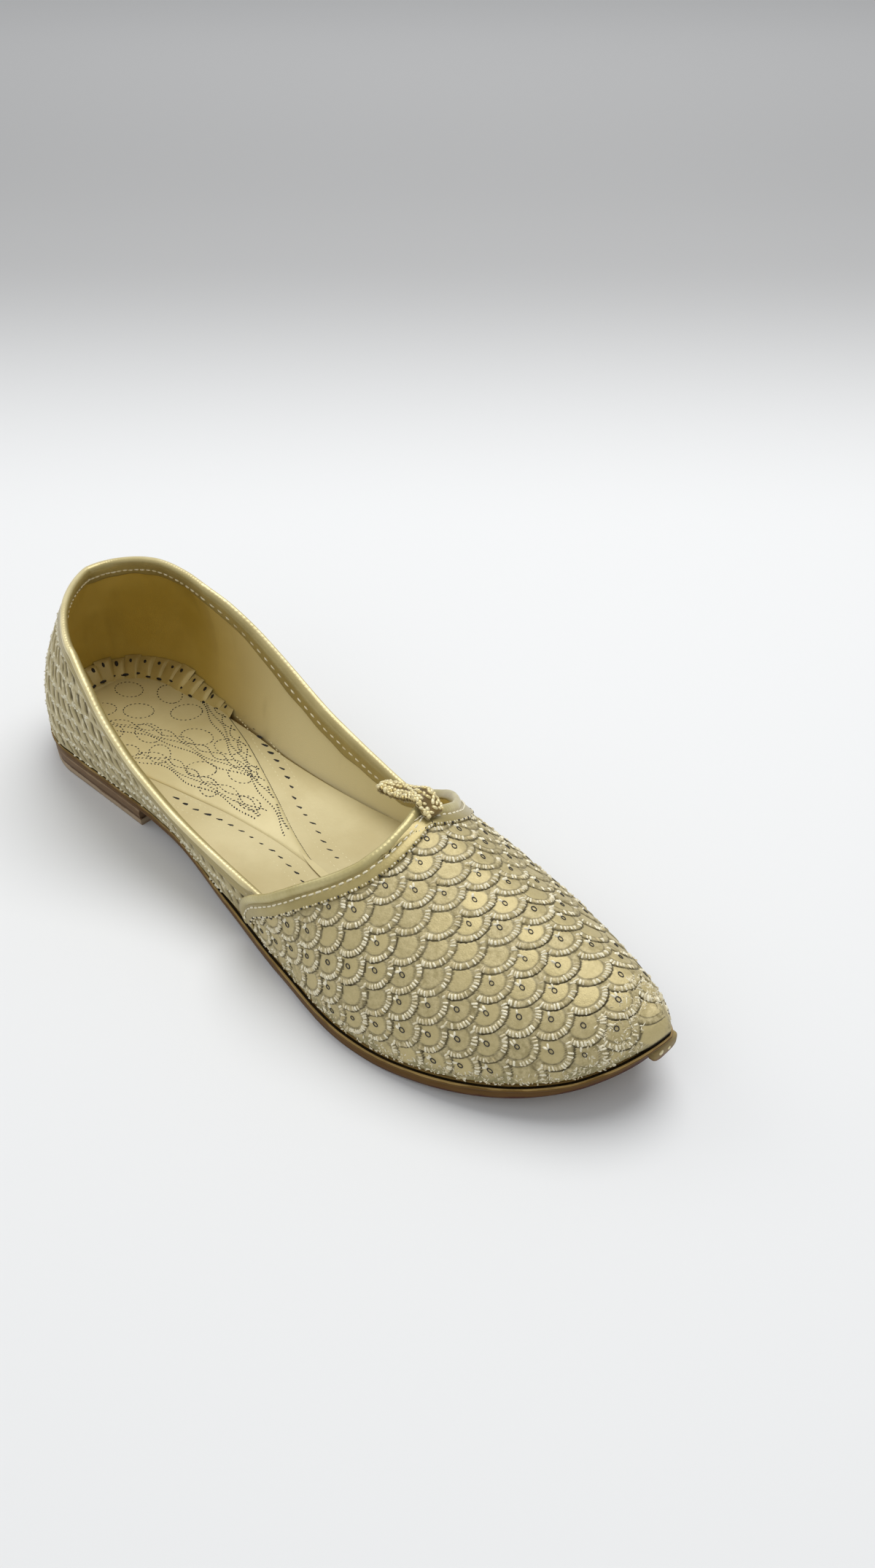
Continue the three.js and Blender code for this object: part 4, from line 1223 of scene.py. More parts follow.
def quarter_relief(run, rise, settings):
    """Height over the cloth and shares of slit and knot row: bands of leaning dark slits,
    the next band set off by half a slit, with a sparkling row of knots between bands. The slits' dark is
    painted shade in their hollows, and the slit share also holds painted shadow along the foot."""
    band_pitch = in_mm(settings.band_pitch)
    slit_height = in_mm(settings.slit_height)
    slit_pitch = in_mm(settings.slit_pitch)
    height = rise * wall_height(run)
    lift = height - BAND_FOOT + band_sway(run)
    band = np.floor(lift / band_pitch)
    up = lift - band * band_pitch
    along = run + quarter_lean(run, settings) * up + band * slit_pitch / 2
    index = np.round(along / slit_pitch).astype(int)
    table = np.random.default_rng(3).uniform(-1, 1, (128, 16, 3))
    own = table[index % 128, band.astype(int) % 16]
    off = along - index * slit_pitch - 0.5 * own[..., 0] - 0.3 * np.sin(up * 0.9 + own[..., 1] * 3)
    top = slit_height - 0.7 + 0.6 * own[..., 2]
    inside = smooth(up, 0.1, 0.8) * (1 - smooth(up, top, top + 0.7))
    slit = inside * np.sqrt(np.maximum(0, 1 - (off / (in_mm(settings.slit_width) * 0.62)) ** 2))
    rib = inside * (0.5 + 0.5 * np.cos(2 * np.pi * off / slit_pitch + np.pi))
    knots = 1 - smooth(up, 0.0, 0.6) * (1 - smooth(up, slit_height, slit_height + 0.5))
    calm = smooth(height, 0.0, 1.2)
    relief_height = (RIB_HEIGHT * rib - SLIT_DEPTH * slit + KNOT_ROW_HEIGHT * knots) * calm
    # The slit share also holds painted shadow along the foot
    return relief_height, np.maximum(slit * calm, 1 - smooth(height, 0.3, 1.0)), knots


class MOJARI_OT_quarter(bpy.types.Operator):
    """Builds the quarter: the slit cloth round the heel, its knots and the lining inside"""

    bl_idname = "mojari.quarter"
    bl_label = "Quarter"

    def execute(self, context):
        settings = context.scene.mojari_quarter
        build_quarter_cloth(settings)
        build_quarter_knots(settings)
        build_quarter_lining()
        return {"FINISHED"}


QUARTER_RUN = run_at(QUARTER_FRONT_X)


def build_quarter_cloth(settings):
    """Quarter's face on a grid, moved along its normals by the relief of the slits."""
    run, rise = lattice(np.linspace(-QUARTER_RUN, QUARTER_RUN, 1081), np.linspace(0, 0.985, 81))
    points = quarter_point(run, rise)
    normals = grid_normals(points, INSIDE_QUARTER)
    height, slit, knots = quarter_relief(run, rise, settings)
    height = height - 0.6 * (1 - smooth(rise * wall_height(run), 0.0, 0.9))
    points = points + normals * height[..., None]
    make_piece("quarter_cloth", points, grid_faces(*run.shape), quarter_material(),
               inside=INSIDE_QUARTER, attributes={"line": slit, "knots": knots})


def quarter_material():
    """Slit cloth: pale twill ribs, painted shade in the slits and along the foot, and a lighter crumpled
    row between bands.
    """
    made, tree, shader, place = new_material("slit_cloth", metallic=0.35, roughness=0.5, coat=0.05)
    fine = noise(tree, place, 1500.0, 4.0)
    patch = noise(tree, place, 110.0, 3.0)
    ribs = noise(tree, place, 700.0, 3.0, stretch=(1.0, 1.0, 0.25))
    colour = blend(tree, patch, *TWILL)
    colour = blend(tree, spread(tree, ribs, 0.52, 0.7, 0.0, 0.9), colour, TWILL_RIB)
    colour = blend(tree, sums(tree, "MULTIPLY", attribute(tree, "knots"), 0.5), colour, CRUMPLED)
    # Painted shade: the line share darkens the slits and the foot and takes away their shine
    colour = blend(tree, attribute(tree, "line"), colour, SLIT_SHADE)
    feed(shader, "Base Color", colour)
    feed(shader, "Metallic", sums(tree, "MULTIPLY", 0.35, fading(tree, "line")))
    feed(shader, "Specular IOR Level", sums(tree, "MULTIPLY", 0.5, fading(tree, "line")))
    relief(tree, shader, sums(tree, "ADD", fine, ribs), 0.0002, 0.7)
    return made


def build_quarter_knots(settings):
    """Bright knots scattered in the rows between the bands of slits."""
    rng = np.random.default_rng(21)
    pitch = in_mm(settings.knot_pitch)
    band_pitch = in_mm(settings.band_pitch)
    slit_height = in_mm(settings.slit_height)
    runs = np.arange(-QUARTER_RUN + 8, QUARTER_RUN - 8, pitch)
    parts_run, parts_height = [], []
    for band in range(-1, 8):
        for level in KNOT_LEVELS:
            jitter = rng.normal(0, 0.28, (2, len(runs)))
            lift = band * band_pitch + slit_height + level + jitter[0]
            parts_run.append(runs + jitter[1] + rng.uniform(0, pitch))
            parts_height.append(lift + BAND_FOOT - band_sway(runs))
    run = np.concatenate(parts_run)
    height = np.concatenate(parts_height)
    tall = wall_height(run)
    kept = (height > 0.8) & (height < tall - 4.2) & (rng.uniform(0, 1, len(run)) > 0.5)
    run, rise = run[kept], (height / tall)[kept]
    point, along, up, out = quarter_frames(run, rise)
    point = point + out * quarter_relief(run, rise, settings)[0][:, None]
    turned = rng.uniform(-0.9, 0.9, len(run))[:, None] + np.pi / 4
    first = along * np.cos(turned) + up * np.sin(turned)
    size = rng.uniform(0.7, 1.25, (len(run), 3))
    knot = pillow(1.4, 0.85, 0.55, cells=(3, 2))
    points, faces = scatter(knot, point, first, np.cross(out, first), out, size)
    thread = thread_material("pale_thread", *KNOT)
    make_piece("quarter_knots", points, faces, thread, inside=INSIDE_QUARTER,
               attributes=shades(len(run), knot, 22))


def quarter_frames(run, rise, offset=0.0):
    """Point, forward run, upward and outward directions on the quarter's face."""
    point = quarter_point(run, rise, offset)
    along = unit(quarter_point(run + 0.05, rise, offset) - quarter_point(run - 0.05, rise, offset))
    up = unit(quarter_point(run, rise + 0.002, offset) - quarter_point(run, rise - 0.002, offset))
    out = unit(np.cross(along, up))
    away = (out * (point - np.array(INSIDE_QUARTER))).sum(-1) < 0
    out = np.where(away[:, None], -out, out)
    return point, along, up, out


def build_quarter_lining():
    """Closed wall whose inner face has the faint pulls that run down from the collar."""
    run, rise = lattice(np.linspace(-QUARTER_RUN, QUARTER_RUN, 281), np.linspace(0, 0.98, 25))
    pulls = 0.22 * np.sin(run / 6.5 + 1.2 * np.sin(run / 17.0)) * np.sin(np.pi * rise) ** 1.5
    pulls = pulls * smooth(np.abs(run), 6, 30) * (1 - smooth(np.abs(run), 90, 130))
    outer = quarter_point(run, rise, -CLOTH_THICK)
    inner = quarter_point(run, rise, -QUARTER_WALL - 0.15 + pulls * 0.6)
    points, faces = shell(outer, inner)
    # Painted light: the front of the medial wall is paler
    pale = np.tile(smooth(run, 52.0, 112.0).ravel(), 2)
    make_piece("quarter_lining", points, faces, lining_material(),
               attributes={"pale": pale})


# Trim

# The binding's section: out from the wall and down from the rim, and 1 where it is rolled
COLLAR_SECTION = [
    (0.30, 4.9, 0), (0.50, 4.9, 0), (0.68, 4.5, 0), (0.66, 3.4, 0), (0.40, 2.8, 0),
    (0.60, 2.2, 0), (0.62, 1.6, 0), (0.40, 1.2, 0), (0.74, 0.7, 0.5), (0.84, 0.1, 0.9),
    (0.66, -0.6, 1), (0.20, -1.1, 1), (-0.40, -1.25, 1), (-1.00, -1.15, 0.6), (-1.55, -0.9, 0.2),
    (-2.00, -0.4, 0.1), (-2.30, 0.3, 0), (-2.60, 0.9, 0), (-2.80, 1.3, 0), (-2.95, 2.4, 0),
    (-2.92, 4.2, 0), (-2.80, 5.6, 0), (-2.60, 6.2, 0), (-2.30, 6.2, 0), (-2.15, 5.0, 0),
    (-2.10, 0.4, 0), (-1.2, -0.4, 0), (0.15, -0.4, 0), (0.25, 2.0, 0),
]
BINDING_FRONT = run_at(165.0)
# Stations between which the binding grows shallow, lies flat outside and thins inside
BINDING_SHALLOW = (143.0, 164.0)
BINDING_FLAT = (141.0, 146.5)
BINDING_THIN = (144.0, 160.0)
# Share of its depth that it loses there, and how far in it stays
BINDING_LOSS = 0.85
BINDING_STAYS = 1.75


def toward_throat(run, between):
    """0 behind the first station of the quarter, rising to 1 at the second."""
    first, second = between
    return smooth(np.abs(run), run_at(first), run_at(second))[:, None]


def build_collar_binding(material):
    """The binding's section carried round the rim. Toward the throat it goes under the vamp."""
    run = np.linspace(-BINDING_FRONT, BINDING_FRONT, 421)
    section = np.array(COLLAR_SECTION)
    ripple = 1 + 0.04 * np.sin(run / 5.0) + 0.03 * np.sin(run / 2.3)
    depth = section[None, :, 1] * np.where(section[None, :, 1] > 2.5, ripple[:, None], 1.0)
    depth = depth * (1 - BINDING_LOSS * toward_throat(run, BINDING_SHALLOW) * (depth > 0))
    low = depth / wall_height(run)[:, None]
    under = toward_throat(run, BINDING_FLAT)
    out = section[None, :, 0] - under * np.maximum(0, section[None, :, 0] - 0.05)
    sunk = toward_throat(run, BINDING_THIN)
    out = out + 0.96 * sunk * np.maximum(0, -BINDING_STAYS - out)
    rings = quarter_point(run[:, None] + 0 * low, 1 - low, out)
    points, faces = sweep(rings)
    roll = np.concatenate([np.tile(section[:, 2], len(run)), [0, 0]])
    along = np.concatenate([np.repeat(run, len(section)), [0, 0]])
    make_piece("collar_binding_strip", points, faces, material,
               replaces=("collar_binding",), attributes={"roll": 0.999 * roll, "along": along})


STITCHES_FRONT = run_at(143.0)


def build_collar_stitches(settings, material):
    """Stitches along the strip inside the collar, each a cushion lying along it."""
    rng = np.random.default_rng(31)
    run = np.arange(-STITCHES_FRONT, STITCHES_FRONT, in_mm(settings.stitch_pitch))
    run = run + rng.normal(0, 0.15, len(run))
    tall = wall_height(run)
    depth = 3.6 + rng.normal(0, 0.08, len(run))
    point, along, up, out = quarter_frames(run, 1 - depth / tall, -2.98)
    size = rng.uniform(0.88, 1.12, (len(run), 3))
    length = in_mm(settings.stitch_length)
    stitch = pillow(length, 0.62, 0.36)
    points, faces = scatter(stitch, point, along, -up, -out, size)
    dulled = 0.6 * shades(len(run), stitch, 32)["shade"]
    make_piece("collar_stitches", points, faces, material, attributes={"shade": dulled})


def beside_throat(turn, distance, offset=0.0):
    """Point of the vamp at a distance forward of its back edge, taken square to the edge in the
    face, and moved outward by an offset."""
    given = [np.asarray(value, float) for value in (turn, distance, offset)]
    turn, distance, offset = np.broadcast_arrays(*given)
    small = 0.25
    x = throat_x(turn)
    next_point = vamp_point(throat_x(turn + small), turn + small)
    edge = unit(next_point - vamp_point(throat_x(turn - small), turn - small))
    by_x = (vamp_point(x + small, turn) - vamp_point(x - small, turn)) / (2 * small)
    by_turn = (vamp_point(x, turn + small) - vamp_point(x, turn - small)) / (2 * small)
    normal = unit(np.cross(by_x, by_turn))
    inward = unit(np.cross(normal, edge))
    inward = np.where(inward[..., :1] < 0, -inward, inward)
    step = inward * distance[..., None]
    xx, xt, tt = dot(by_x, by_x)[..., 0], dot(by_x, by_turn)[..., 0], dot(by_turn, by_turn)[..., 0]
    sx, st = dot(step, by_x)[..., 0], dot(step, by_turn)[..., 0]
    size = xx * tt - xt * xt
    dx, dt = (sx * tt - st * xt) / size, (st * xx - sx * xt) / size
    return vamp_point(x + dx, np.clip(turn + dt, 0, 180), offset)


# The throat band's section: out from the vamp and forward of its edge, rolled and flat,
# and 1 on the piping
BAND_SECTION = [
    (0.42, 6.3, 0.42, 6.3, 0), (0.85, 6.4, 0.85, 6.4, 0), (1.15, 6.1, 1.05, 6.1, 0),
    (1.28, 5.2, 1.10, 5.2, 0), (1.26, 3.8, 1.10, 3.8, 0), (1.10, 2.6, 1.00, 2.6, 0),
    (0.55, 2.15, 0.75, 2.1, 0), (0.62, 1.8, 0.80, 1.8, 0), (1.45, 1.4, 1.05, 1.4, 0.8),
    (1.95, 0.7, 1.12, 0.8, 1), (2.02, -0.1, 1.08, 0.2, 1), (1.70, -0.8, 1.00, -0.3, 1),
    (1.10, -1.25, 0.90, -0.6, 1), (0.35, -1.35, 0.80, -0.75, 0.7), (-0.50, -1.35, 0.72, -0.78, 0.3),
    (-1.30, -1.3, 0.66, -0.75, 0), (-1.95, -1.15, 0.58, -0.70, 0), (-2.25, -0.95, 0.52, -0.62, 0),
    (-2.15, -0.55, 0.47, -0.52, 0), (-1.00, -0.42, 0.44, -0.45, 0), (0.38, -0.40, 0.42, -0.40, 0),
    (0.40, 2.0, 0.40, 2.0, 0), (0.40, 4.0, 0.40, 4.0, 0),
]


def build_throat_band(material):
    """The band's section carried round the throat, rolled at the top and flat at its ends."""
    turn = np.concatenate([
        np.linspace(4, 16, 24)[:-1], np.linspace(16, 164, 200), np.linspace(164, 176, 24)[1:]])
    section = np.array(BAND_SECTION)
    rolled = smooth(90 - np.abs(turn - 90), 8, 22)[:, None]
    out = section[None, :, 2] + (section[None, :, 0] - section[None, :, 2]) * rolled
    ahead = section[None, :, 3] + (section[None, :, 1] - section[None, :, 3]) * rolled
    rings = beside_throat(turn[:, None] + 0 * out, ahead, out)
    points, faces = sweep(rings)
    roll = np.concatenate([(section[None, :, 4] * (0.1 + 0.9 * rolled)).ravel(), [0, 0]])
    reach = reach_along(beside_throat(turn, 0.0))
    along = np.concatenate([np.repeat(reach, len(section)), [0, 0]])
    make_piece("throat_band_strip", points, faces, material,
               replaces=("throat_band",), attributes={"roll": roll, "along": along})


def band_frames(turn, ahead, out):
    """Point on the band with the directions along, forward and up from it."""
    point = beside_throat(turn, ahead, out)
    along = unit(beside_throat(turn + 0.3, ahead, out) - beside_throat(turn - 0.3, ahead, out))
    forward = unit(beside_throat(turn, ahead + 0.1, out) - beside_throat(turn, ahead - 0.1, out))
    up = unit(np.cross(forward, along))
    return point, along, forward, up


def even_turns(pitch, ahead, first, last):
    """Turns spaced evenly along the band at a distance ahead of the throat's edge."""
    turn = np.linspace(first, last, 900)
    points = beside_throat(turn, ahead, 0.0)
    reach = reach_along(points)
    return np.interp(np.arange(pitch / 2, reach[-1], pitch), reach, turn)


def build_band_stitches(settings, material):
    """White dashes beside the piping, and fine beads along the band's front edge, every third painted
    dark as the shade of a hole.
    """
    rng = np.random.default_rng(41)
    turn = even_turns(in_mm(settings.stitch_pitch) * 0.8, 3.0, 6, 174)
    point, along, forward, up = band_frames(turn, 2.9 + rng.normal(0, 0.06, len(turn)), 1.28)
    length = in_mm(settings.stitch_length) * 0.82
    size = rng.uniform(0.85, 1.15, (len(turn), 3))
    parts = [scatter(pillow(length, 0.6, 0.34), point, along, -forward, up, size)]
    turn = even_turns(1.15, 6.3, 6, 168)
    point, along, forward, up = band_frames(turn, 6.15 + rng.normal(0, 0.1, len(turn)), 1.0)
    size = rng.uniform(0.7, 1.2, (len(turn), 3))
    parts.append(scatter(dome(0.45, 0.45, 6, 2), point, along, -forward, up, size))
    # Every third bead is painted dark, as the shade of a hole
    dark = np.where(np.arange(len(turn)) % 3 == 1, 0.0, rng.beta(3.0, 1.6, len(turn)))
    bead_points = len(parts[1][0]) // len(turn)
    shade = np.concatenate([np.full(len(parts[0][0]), 0.8), np.repeat(dark, bead_points)])
    points, faces = join_parts(parts)
    make_piece("throat_stitches", points, faces, material, inside=INSIDE_VAMP,
               attributes={"shade": shade})


def powered(value, power):
    """A power that keeps the sign, as superellipses need."""
    return np.sign(value) * np.abs(value) ** power


TAB_POWER = 0.62
TAB_END_ROUND = 2.4
TAB_ASIDE = 0.6
TAB_BOW = 1.6
TAB_FRONT_DROP = 2.0


def tab_point(x, around):
    """Pad of the tab: a superellipse section carried along a bowed line that drops at the
    front, with round ends and both sides sunk."""
    from_end = np.minimum(x - TAB_BACK_X, TAB_FRONT_X - x)
    inside = clamp01((from_end + 0.15) / TAB_END_ROUND)
    blunt = np.sqrt(inside * (2 - inside))
    across = powered(np.cos(around), TAB_POWER)
    up = powered(np.sin(around), TAB_POWER)
    y = across * (0.78 * TAB["half"](x) * (0.5 + 0.5 * blunt)) + TAB_ASIDE
    middle = TAB["middle"](x) - TAB_FRONT_DROP * smooth(x, 184.0, 190.0)
    z = middle + up * (TAB["thick"](x) * blunt / 2) - TAB_BOW * (y / 6) ** 2
    return np.stack(np.broadcast_arrays(x, TAB["y"](x) + y, z), -1)


def build_tab(settings, pad, material):
    """The braid: a padded strip covered by rows of pearls that lean one way or the other."""
    x, around = lattice(np.linspace(TAB_BACK_X, TAB_FRONT_X, 45), full_turn(32))
    points, faces = sweep(tab_point(x, around))
    core = make_piece("tab_core", points, faces, pad, replaces=("tongue_tab",))
    rng = np.random.default_rng(51)
    radius = in_mm(settings.pearl)
    spots_x, spots_turn = [], []
    for k, share in enumerate(np.linspace(0.04, 0.96, 9)):
        line = np.arange(TAB_BACK_X + 0.5 + (k % 2) * radius * 0.9, TAB_FRONT_X - 0.2, 2.1 * radius)
        spots_x.append(line + rng.normal(0, 0.14, len(line)))
        spots_turn.append(np.pi * (1.06 - 1.12 * share) + rng.normal(0, 0.05, len(line)))
    spot_x, spot_turn = np.concatenate(spots_x), np.concatenate(spots_turn)
    point = tab_point(spot_x, spot_turn)
    along = unit(tab_point(spot_x + 0.1, spot_turn) - tab_point(spot_x - 0.1, spot_turn))
    side = unit(tab_point(spot_x, spot_turn + 0.03) - tab_point(spot_x, spot_turn - 0.03))
    up = unit(np.cross(along, side))
    up = np.where((up[:, 2] < 0)[:, None] & (np.abs(np.sin(spot_turn)) > 0.3)[:, None], -up, up)
    size = rng.uniform(0.75, 1.25, (len(spot_x), 3))
    lean = rng.choice([-0.6, 0.6], len(spot_x))[:, None]
    first = along * np.cos(lean) + side * np.sin(lean)
    pearl = dome(radius, radius * 0.75, 8, 3)
    size = size * np.array([1.35, 0.9, 1.0])
    points, faces = scatter(pearl, point, first, np.cross(up, first), up, size)
    make_piece("tab_braid", points, faces, material, inside=INSIDE_TAB,
               attributes=shades(len(spot_x), pearl, 52))


class MOJARI_OT_trim(bpy.types.Operator):
    """Builds the bindings of the collar and throat, their stitches and the braided tab"""

    bl_idname = "mojari.trim"
    bl_label = "Bindings and tab"

    def execute(self, context):
        settings = context.scene.mojari_trim
        strip = binding_material("gold_binding", *STRIP_ROLLED)
        band = binding_material("gold_piping", *PIPING)
        thread = thread_material("binding_thread")
        build_collar_binding(strip)
        build_collar_stitches(settings, thread)
        build_throat_band(band)
        build_band_stitches(settings, thread)
        build_tab(settings, leather_material("tab_leather", *TAB_PAD),
                  thread_material("braid_thread", *BRAID, 0.36, 0.4))
        return {"FINISHED"}


# Sole and heel

# A layer that ends short of the tip is drawn back steadily, or only near its front
DRAWN_STEADY = 1
DRAWN_LATE = 5
MIDSOLE_REACH = 0.5
HEEL_STACK_INSET = 0.2
HEEL_LIFT_INSET = 0.4
# Edges of a layer look sharp over this many degrees
EDGE_CREASE = 40

# Edge profiles of the layers: out from the edge, and the share of the thickness
EDGE_ROUND = [
    (-1.3, 0.0), (-0.5, 0.03), (-0.12, 0.12), (0.03, 0.3),
    (0.05, 0.55), (0.0, 0.8), (-0.14, 0.94), (-0.42, 1.0),
]
EDGE_TIGHT = [
    (-0.55, 0.0), (-0.12, 0.06), (0.02, 0.25), (0.05, 0.5), (0.02, 0.75), (-0.12, 0.94),
    (-0.5, 1.0), (-0.8, 1.0), (-1.3, 1.0), (-1.8, 1.0),
]
# A long slope, for the padded sock
EDGE_SOFT = [(-0.3, 0.0), (0.0, 0.15), (-0.2, 0.4), (-0.8, 0.75), (-1.8, 1.0)]

# A dark band of painted shadow from the gap between pieces lies on the ledge of a layer, between these
# places out from its edge
GAP_SHADE = (-1.5, -0.7)


def stations(front, around=28, along=150, crowd=2.2):
    """Stations from the back of the heel to the front, crowded at both ends."""
    heel = HEEL_RADIUS * (1 - np.cos(np.linspace(0, np.pi / 2, around)))
    if front <= BALL_X:
        return np.concatenate([heel, np.linspace(HEEL_RADIUS, front, along)[1:]])
    toe = BALL_X + (front - BALL_X) * (1 - (1 - np.linspace(0, 1, 60)) ** crowd)
    return np.concatenate([heel, np.linspace(HEEL_RADIUS, BALL_X, along)[1:-1], toe])


def drawn_edge(front, power, stretch):
    """Edge of a layer that ends short of the tip: drawn back in front of the ball."""
    def edge(x, side, out):
        pull = (LENGTH - front) * clamp01((x - BALL_X) / (front - BALL_X)) ** power
        px, py = outline_point(x + pull, side, out + stretch)
        return px - pull, py
    return edge


def plain_edge(inset):
    """Edge of a layer set in evenly from the sole's edge."""
    return lambda x, side, out: outline_point(x, side, out - inset)


def layer(x, edge, bottom, top, profile):
    """Flat layer: an edge profile carried round both sides at each station, closed across.
    The rise it gives is the share of the thickness, and over 1 on the band of painted shadow."""
    shade_from, shade_to = GAP_SHADE
    marked = [(out, share, share + (shade_from < out < shade_to)) for out, share in profile]
    round_trip = [(LATERAL, *spot) for spot in marked] + [(MEDIAL, *spot) for spot in reversed(marked)]
    spots = np.array(round_trip)
    stations_x, side = lattice(x, spots[:, 0])
    out = np.broadcast_to(spots[:, 1], stations_x.shape)
    share = np.broadcast_to(spots[:, 2], stations_x.shape)
    px, py = edge(stations_x, side, out)
    low, high = bottom(stations_x), top(stations_x)
    points = np.stack([px, py, low + (high - low) * share], -1)
    count = len(profile)
    size = 2 * count
    faces = [tuple(f) for f in grid_faces(len(x), size, close_columns=True)]
    last = (len(x) - 1) * size
    for k in range(count - 1):
        quad = (k, k + 1, size - 2 - k, size - 1 - k)
        faces.append(quad[::-1])
        faces.append(tuple(last + i for i in quad))
    return points, faces, np.broadcast_to(spots[:, 3], stations_x.shape)


def joint_at(x):
    """Height of the joint between outsole and midsole."""
    return sole_top(x) - MIDSOLE_THICK


class MOJARI_OT_sole(bpy.types.Operator):
    """Builds the midsole, outsole, stacked heel, top lift and the folded nose at the toe"""

    bl_idname = "mojari.sole"
    bl_label = "Sole and heel"

    def execute(self, context):
        build_layers()
        build_nose()
        return {"FINISHED"}


def build_layers():
    """Midsole, outsole, heel stack and top lift, from the sole's own edge and heights."""
    edge = sole_material("burnished_sole_edge", *OUTSOLE_EDGE, 0.4)
    rim = sole_material("midsole_edge", *MIDSOLE_EDGE, 0.42)
    stack = sole_material("heel_stack", *HEEL_STACK, 0.5)
    lift = sole_material("heel_lift_rubber", *HEEL_LIFT, 0.55)
    under_heel = stations(BREAST_X, 28, 30)
    rows = [
        ("outsole_leather", stations(SOLE_FRONT), drawn_edge(SOLE_FRONT, DRAWN_LATE, 0.0),
         SOLE_HEIGHT["bottom"], lambda x: joint_at(x) - GAP / 2,
         EDGE_ROUND, edge, "sole_leather", "outsole"),
        ("midsole_rim", stations(MIDSOLE_FRONT), drawn_edge(MIDSOLE_FRONT, DRAWN_LATE, MIDSOLE_REACH),
         lambda x: joint_at(x) + GAP / 2, sole_top,
         EDGE_TIGHT, rim, "sole_edge", "midsole"),
        ("heel_stack", under_heel, plain_edge(HEEL_STACK_INSET),
         lambda x: LIFT_TOP + GAP + 0 * x, lambda x: SOLE_HEIGHT["bottom"](x) - GAP,
         EDGE_TIGHT, stack, "heel_leather", "heel_block"),
        ("heel_lift", under_heel, plain_edge(HEEL_LIFT_INSET),
         lambda x: 0 * x, lambda x: LIFT_TOP + 0 * x,
         EDGE_TIGHT, lift, "heel_leather", "heel_top_lift"),
    ]
    for name, x, edge_at, bottom, top, profile, material, slot, cad_node in rows:
        points, faces, share = layer(x, edge_at, bottom, top, profile)
        make_piece(name, points, faces, material, replaces=(cad_node,),
                   attributes={"rise": share}, crease=EDGE_CREASE)


NOSE_X = 277.2
NOSE_FACE_X = 278.0
NOSE_REACH = 1.9
NOSE_HALF = 5.7


def build_nose():
    """Blunt fold of leather at the toe, a superellipsoid, with two thread pearls on its face."""
    turn, lift = lattice(full_turn(40), np.linspace(-np.pi / 2, np.pi / 2, 21))
    low = SOLE_HEIGHT["bottom"](NOSE_FACE_X) + 1.2
    high = joint_at(NOSE_FACE_X) - 0.9
    x = NOSE_X + NOSE_REACH * powered(np.cos(turn), 0.6) * powered(np.cos(lift), 0.5)
    y = TIP_Y + NOSE_HALF * powered(np.sin(turn), 0.6) * powered(np.cos(lift), 0.5)
    z = (low + high) / 2 + (high - low) / 2 * powered(np.sin(lift), 0.55)
    points = np.stack([x, y, z], -1)
    share = (z - low) / (high - low)
    material = sole_material("nose_leather", *NOSE_LEATHER, 0.42)
    make_piece("nose_fold", points, grid_faces(*turn.shape, close_rows=True), material,
               replaces=("toe_nose",), attributes={"rise": share})
    spots = np.array([[278.9, TIP_Y - 3.1, low + 3.6], [279.0, TIP_Y + 0.6, low + 2.6]])
    forward, aside, upward = (repeated(direction, len(spots)) for direction in (AHEAD, ASIDE, UPWARD))
    size = np.array([[0.95, 0.95, 0.4], [0.65, 0.65, 0.35]])
    pearl = dome(1.0, 1.0, 14, 6)
    points, faces = scatter(pearl, spots, aside, upward, forward, size)
    thread = thread_material("pearl_thread", *NOSE_THREAD, 0.35, 0.2)
    make_piece("nose_pearls", points, faces, thread, inside=(276.0, TIP_Y, low + 3),
               attributes=shades(len(spots), pearl, 92))


# Inside

LINING_ROOM = 1.6
INSOLE_INSET = VAMP_WALL + WELT_EDGE + GAP + LINING_ROOM
WAIST_EXTRA = 1.6


def insole_top(x):
    """Height of the insole's face."""
    return sole_top(x) + GAP + INSOLE_THICK


def sock_top(x):
    """Height of the sock's face."""
    return insole_top(x) + SOCK_RISE


def sock_edge(x, side, out):
    """Edge of the pointed sock: half an ellipse at the back and two slopes to its tip."""
    full = at_side(SOCK, x, side)
    back = clamp01((SOCK_ROUND_X - x) / (SOCK_ROUND_X - SOCK_BACK_X))
    middle = (SOCK["lateral"](SOCK_ROUND_X) + SOCK["medial"](SOCK_ROUND_X)) / 2
    y = middle + (full - middle) * np.sqrt(1 - back * back)
    round_end = y + side * out * np.sqrt(1 - back * back)
    return x + 0 * out, np.where(x > SOCK_ROUND_X, full + side * out, round_end)


class MOJARI_OT_inside(bpy.types.Operator):
    """Builds the insole, the pleated allowance round the heel seat and the stitched sock"""

    bl_idname = "mojari.inside"
    bl_label = "Insole and sock"

    def execute(self, context):
        settings = context.scene.mojari_inside
        leather = leather_material("insole_leather", *INSOLE, 0.12, 0.42)
        # Dark of painted shade for the slits, holes, gaps and stitches of the insole
        dark = plain_material("painted_hole_shade", HOLE_SHADE)
        build_insole(leather)
        tabs = leather_material("pleat_leather", *PLEAT, 0.2, 0.44)
        build_pleats(settings, tabs, dark)
        build_slits(dark)
        build_ornament(settings, dark)
        return {"FINISHED"}


